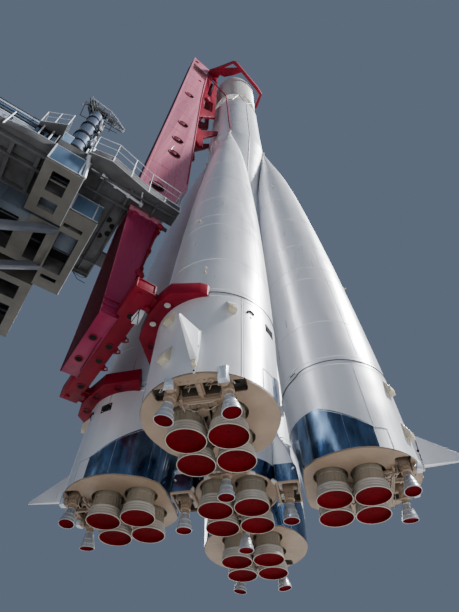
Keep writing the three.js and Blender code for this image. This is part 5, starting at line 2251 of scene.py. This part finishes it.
    def mast_head(self) -> Shape:
        """Builds the dark lattice tower at the mast's head, and its arm with light edges that drops to a tip.

        Returns:
            The new object.
        """
        parts = []
        for y in (-320, 320):
            parts.append(painted(rod((5790, y * 0.5, 14700), (7360, y, 14700), 16, 8), STEEL))
        for x in (6100, 6500, 6900, 7340):
            parts.append(painted(rod((x, -300, 14700), (x, 300, 14700), 16, 8), STEEL))
        foot = [(6630, -150), (6630, 150), (6930, 150), (6930, -150)]
        head = [(7140, -110), (7140, 110), (7340, 110), (7340, -110)]
        for k, ((xa, ya), (xb, yb)) in enumerate(zip(foot, head)):
            parts.append(painted(rod((xa, ya, 14500), (xb, yb, 15790), 26, 10), STEEL))
            xc, yc = head[(k + 1) % 4]
            parts.append(painted(rod((xa, ya, 14600), ((xb + xc) / 2, (yb + yc) / 2, 15300), 16, 8), STEEL))
        tower = drawn([(6700, -110, 14640), (6900, -110, 14640), (7290, -80, 15640), (7180, -80, 15640)], (0, 200, 0))
        parts.append(painted(bevelled(tower, 12), DARK))
        parts.append(painted(rod((7240, -260, 15620), (7240, 260, 15620), 18, 10), RAIL))
        parts.append(painted(rod((7470, 0, 14960), (7240, 0, 15300), 22, 10, 14), STEEL))
        for y in (-170, 170):
            top = [(7200, y, 15720), (6380, y, 15580), (5980, y * 0.8, 15230), (5600, y * 0.35, 14880)]
            low = [(7040, y, 15060), (6350, y, 15080), (5980, y * 0.8, 14980), (5620, y * 0.35, 14820)]
            parts.append(painted(pipe(top, 24, 2), RAIL))
            parts.append(painted(pipe(low, 18, 2), STEEL))
            for a, b in zip(top, low):
                parts.append(painted(rod(a, b, 16, 8), STEEL))
            for a, b in zip(top[1:], low):
                parts.append(painted(rod(a, b, 13, 8), CABLE))
        for x, z, wide in ((6950, 15660, 170), (6660, 15610, 170), (6380, 15570, 170), (6180, 15390, 150),
                (5980, 15210, 136), (5790, 15040, 96)):
            parts.append(painted(rod((x, -wide, z), (x, wide, z), 16, 8), STEEL))
        parts.append(painted(boxed((6420, -130, 15180), (7060, 130, 15300), 20), DARK))
        parts.append(painted(boxed((6060, -90, 15060), (6330, 90, 15190), 16), STEEL))
        parts.append(painted(bevelled(rod((5640, -50, 14850), (5640, 50, 14850), 60, 20), 10), RAIL))
        return joined(parts)

    def mast_fittings(self) -> Shape:
        """Clamps the pipes, valves and cables to the mast's right side.

        Returns:
            The new object.
        """
        parts = []
        parts.append(painted(pipe([(6370, 200, 9352), (6370, 200, 13200), (6480, 160, 14300)], 30, 2), RAIL))
        parts.append(painted(pipe([(6400, 60, 9352), (6400, 60, 12900), (6500, 60, 14200)], 24, 2), STEEL))
        parts.append(painted(pipe([(6350, -60, 9352), (6330, -60, 11000), (6420, -60, 12400), (6330, -60, 13600),
            (6480, -60, 14400)], 18, 2), CABLE))
        for k, z in enumerate((10000, 10700, 11400, 12000, 12600, 13100, 13700)):
            parts.append(painted(bevelled(boxed((6310, 60, z), (6450, 250, z + 120)), 16),
                (RAIL, STEEL, DARK)[k % 3]))
            parts.append(painted(bevelled(rod((6340, 270, z + 60), (6340, 330, z + 60), 60, 16), 8),
                (STEEL, RAIL)[k % 2]))
        return joined(parts)

    def build(self) -> None:
        """Builds the stand."""
        # Painted shade: upright faces round the window openings take the dark deck steel.
        dark = lambda at, normal: abs(normal.z) < 0.5 and any(
            a - 30 < at.x < b + 30 and c - 30 < at.y < d + 30
            for a, b, c, d in (*self.inner_windows, *self.outer_windows, (5280, 5780, -3200, -380),
            (6280, 6860, -580, 760),
                               (6250, 8050, -2600, -1250), (6270, 8150, -6100, -3850)))
        for which, windows in (("inner", self.inner_windows), ("outer", self.outer_windows)):
            node = f"stand_frame_{which}"
            self.settle(f"box_frame_{which}", self.framed(node, windows), TAUPE, node, accents=[(STEEL, dark)])
        self.settle_nodes([("box_frame_back", "stand_frame_back", 12, TAUPE)], (STEEL, dark))
        self.settle_nodes([("deck_plate", "stand_deck", 12, STEEL), ("leg_front", "stand_leg_front", 20, LEG_GREY),
                           ("leg_back", "stand_leg_back", 20, LEG_GREY), ("slab_block", "stand_slab", 30, CONCRETE)])
        self.settle("deck_front_rail", self.railing(self.front_edge), RAIL)
        self.settle("deck_back_rail", self.railing(self.back_edge), RAIL)
        self.settle("walkway_parapet", self.parapet(), RAIL, "stand_walkway")
        self.settle("mast_shaft", self.mast(), MAST, "stand_jack")
        for name, make, finish in (
            ("deck_fascia", self.fascia, RAIL), ("deck_girders", self.girders, STEEL),
            ("frame_sills", self.sills, TAUPE),
            ("wing_panels", self.wing_panels, SLATE), ("frame_trays", self.trays, PANEL),
            ("frame_panes", self.panes, DARK),
            ("deck_holes", self.dark_holes, DARK), ("lit_girder", self.lit_girder, RAIL),
            ("walkway_platform", self.walkway, RAIL),
            ("mast_rings", self.mast_rings, DARK), ("mast_head", self.mast_head, RAIL),
            ("mast_fittings", self.mast_fittings, RAIL),
        ):
            self.settle(name, make(), finish)


@dataclass
class Studio:
    """The pale floor, the soft lights and the camera at the photograph's viewing angle."""

    place: Point = (0.914, -5, 0.799)
    yaw: float = 0.20126
    pitch: float = 0.88716
    roll: float = 0.01023
    lens: float = 28.454

    def floor(self) -> None:
        """Lays a pale floor under the slab."""
        deselect()
        bpy.ops.mesh.primitive_plane_add(size=120, location=(0, 0, 0))
        ground = bpy.context.object
        apply_place(ground)
        ground.name = "floor"
        ground.data.materials.append(FLOOR.material())

    def world(self) -> None:
        """Lights everything evenly with a pale surround."""
        surround = bpy.data.worlds.new("surround")
        surround.use_nodes = True
        shade = next(n for n in surround.node_tree.nodes if n.type == "BACKGROUND")
        shade.inputs["Color"].default_value = (0.42, 0.54, 0.76, 1)
        shade.inputs["Strength"].default_value = 0.27
        bpy.context.scene.world = surround

    def lamp(self, name: str, place: Point, target: Point, size: float, power: float) -> None:
        """Hangs one large soft lamp.

        Args:
            name: Name of the lamp.
            place: Where it hangs.
            target: What it points at.
            size: Side of its square.
            power: Its power in watts.
        """
        data = bpy.data.lights.new(name, "AREA")
        data.shape = "SQUARE"
        data.size = size
        data.energy = power
        lamp = bpy.data.objects.new(name, data)
        bpy.context.scene.collection.objects.link(lamp)
        lamp.location = place
        lamp.rotation_euler = (Vector(target) - Vector(place)).to_track_quat("-Z", "Y").to_euler()

    def camera(self) -> None:
        """Sets the camera where the photograph was taken from."""
        data = bpy.data.cameras.new("camera")
        data.lens = self.lens
        data.sensor_width = 36
        data.sensor_fit = "AUTO"
        data.clip_end = 500
        eye = bpy.data.objects.new("camera", data)
        bpy.context.scene.collection.objects.link(eye)
        cy, sy = math.cos(self.yaw), math.sin(self.yaw)
        ahead = Vector((-sy * math.cos(self.pitch), cy * math.cos(self.pitch), math.sin(self.pitch)))
        level = Vector((cy, sy, 0))
        rise = level.cross(ahead)
        right = math.cos(self.roll) * level + math.sin(self.roll) * rise
        up = -math.sin(self.roll) * level + math.cos(self.roll) * rise
        turn = Matrix((right, up, -ahead)).transposed()
        eye.matrix_world = Matrix.Translation(self.place) @ turn.to_4x4()
        bpy.context.scene.camera = eye

    def build(self) -> None:
        """Builds the floor, the lights and the camera."""
        self.floor()
        self.world()
        self.lamp("key", (27.8, 4.2, 38), (0, 0, 8), 7, 60000)
        self.lamp("fill", (-16, -26, 10), (0, 0, 8), 14, 700)
        self.lamp("rim", (-10, 26, 22), (0, 0, 12), 12, 3500)
        self.camera()


def main() -> None:
    """Builds every sub-assembly in order."""
    logging.basicConfig(level=logging.INFO, format="%(message)s")
    for name, maker in (("boosters", BoosterSet()), ("core", Core()), ("gantry", Gantry()), ("stand", Stand()),
            ("studio", Studio())):
        maker.build()
        log.info("%s done", name)
    bpy.context.view_layer.update()


if __name__ == "__main__":
    main()
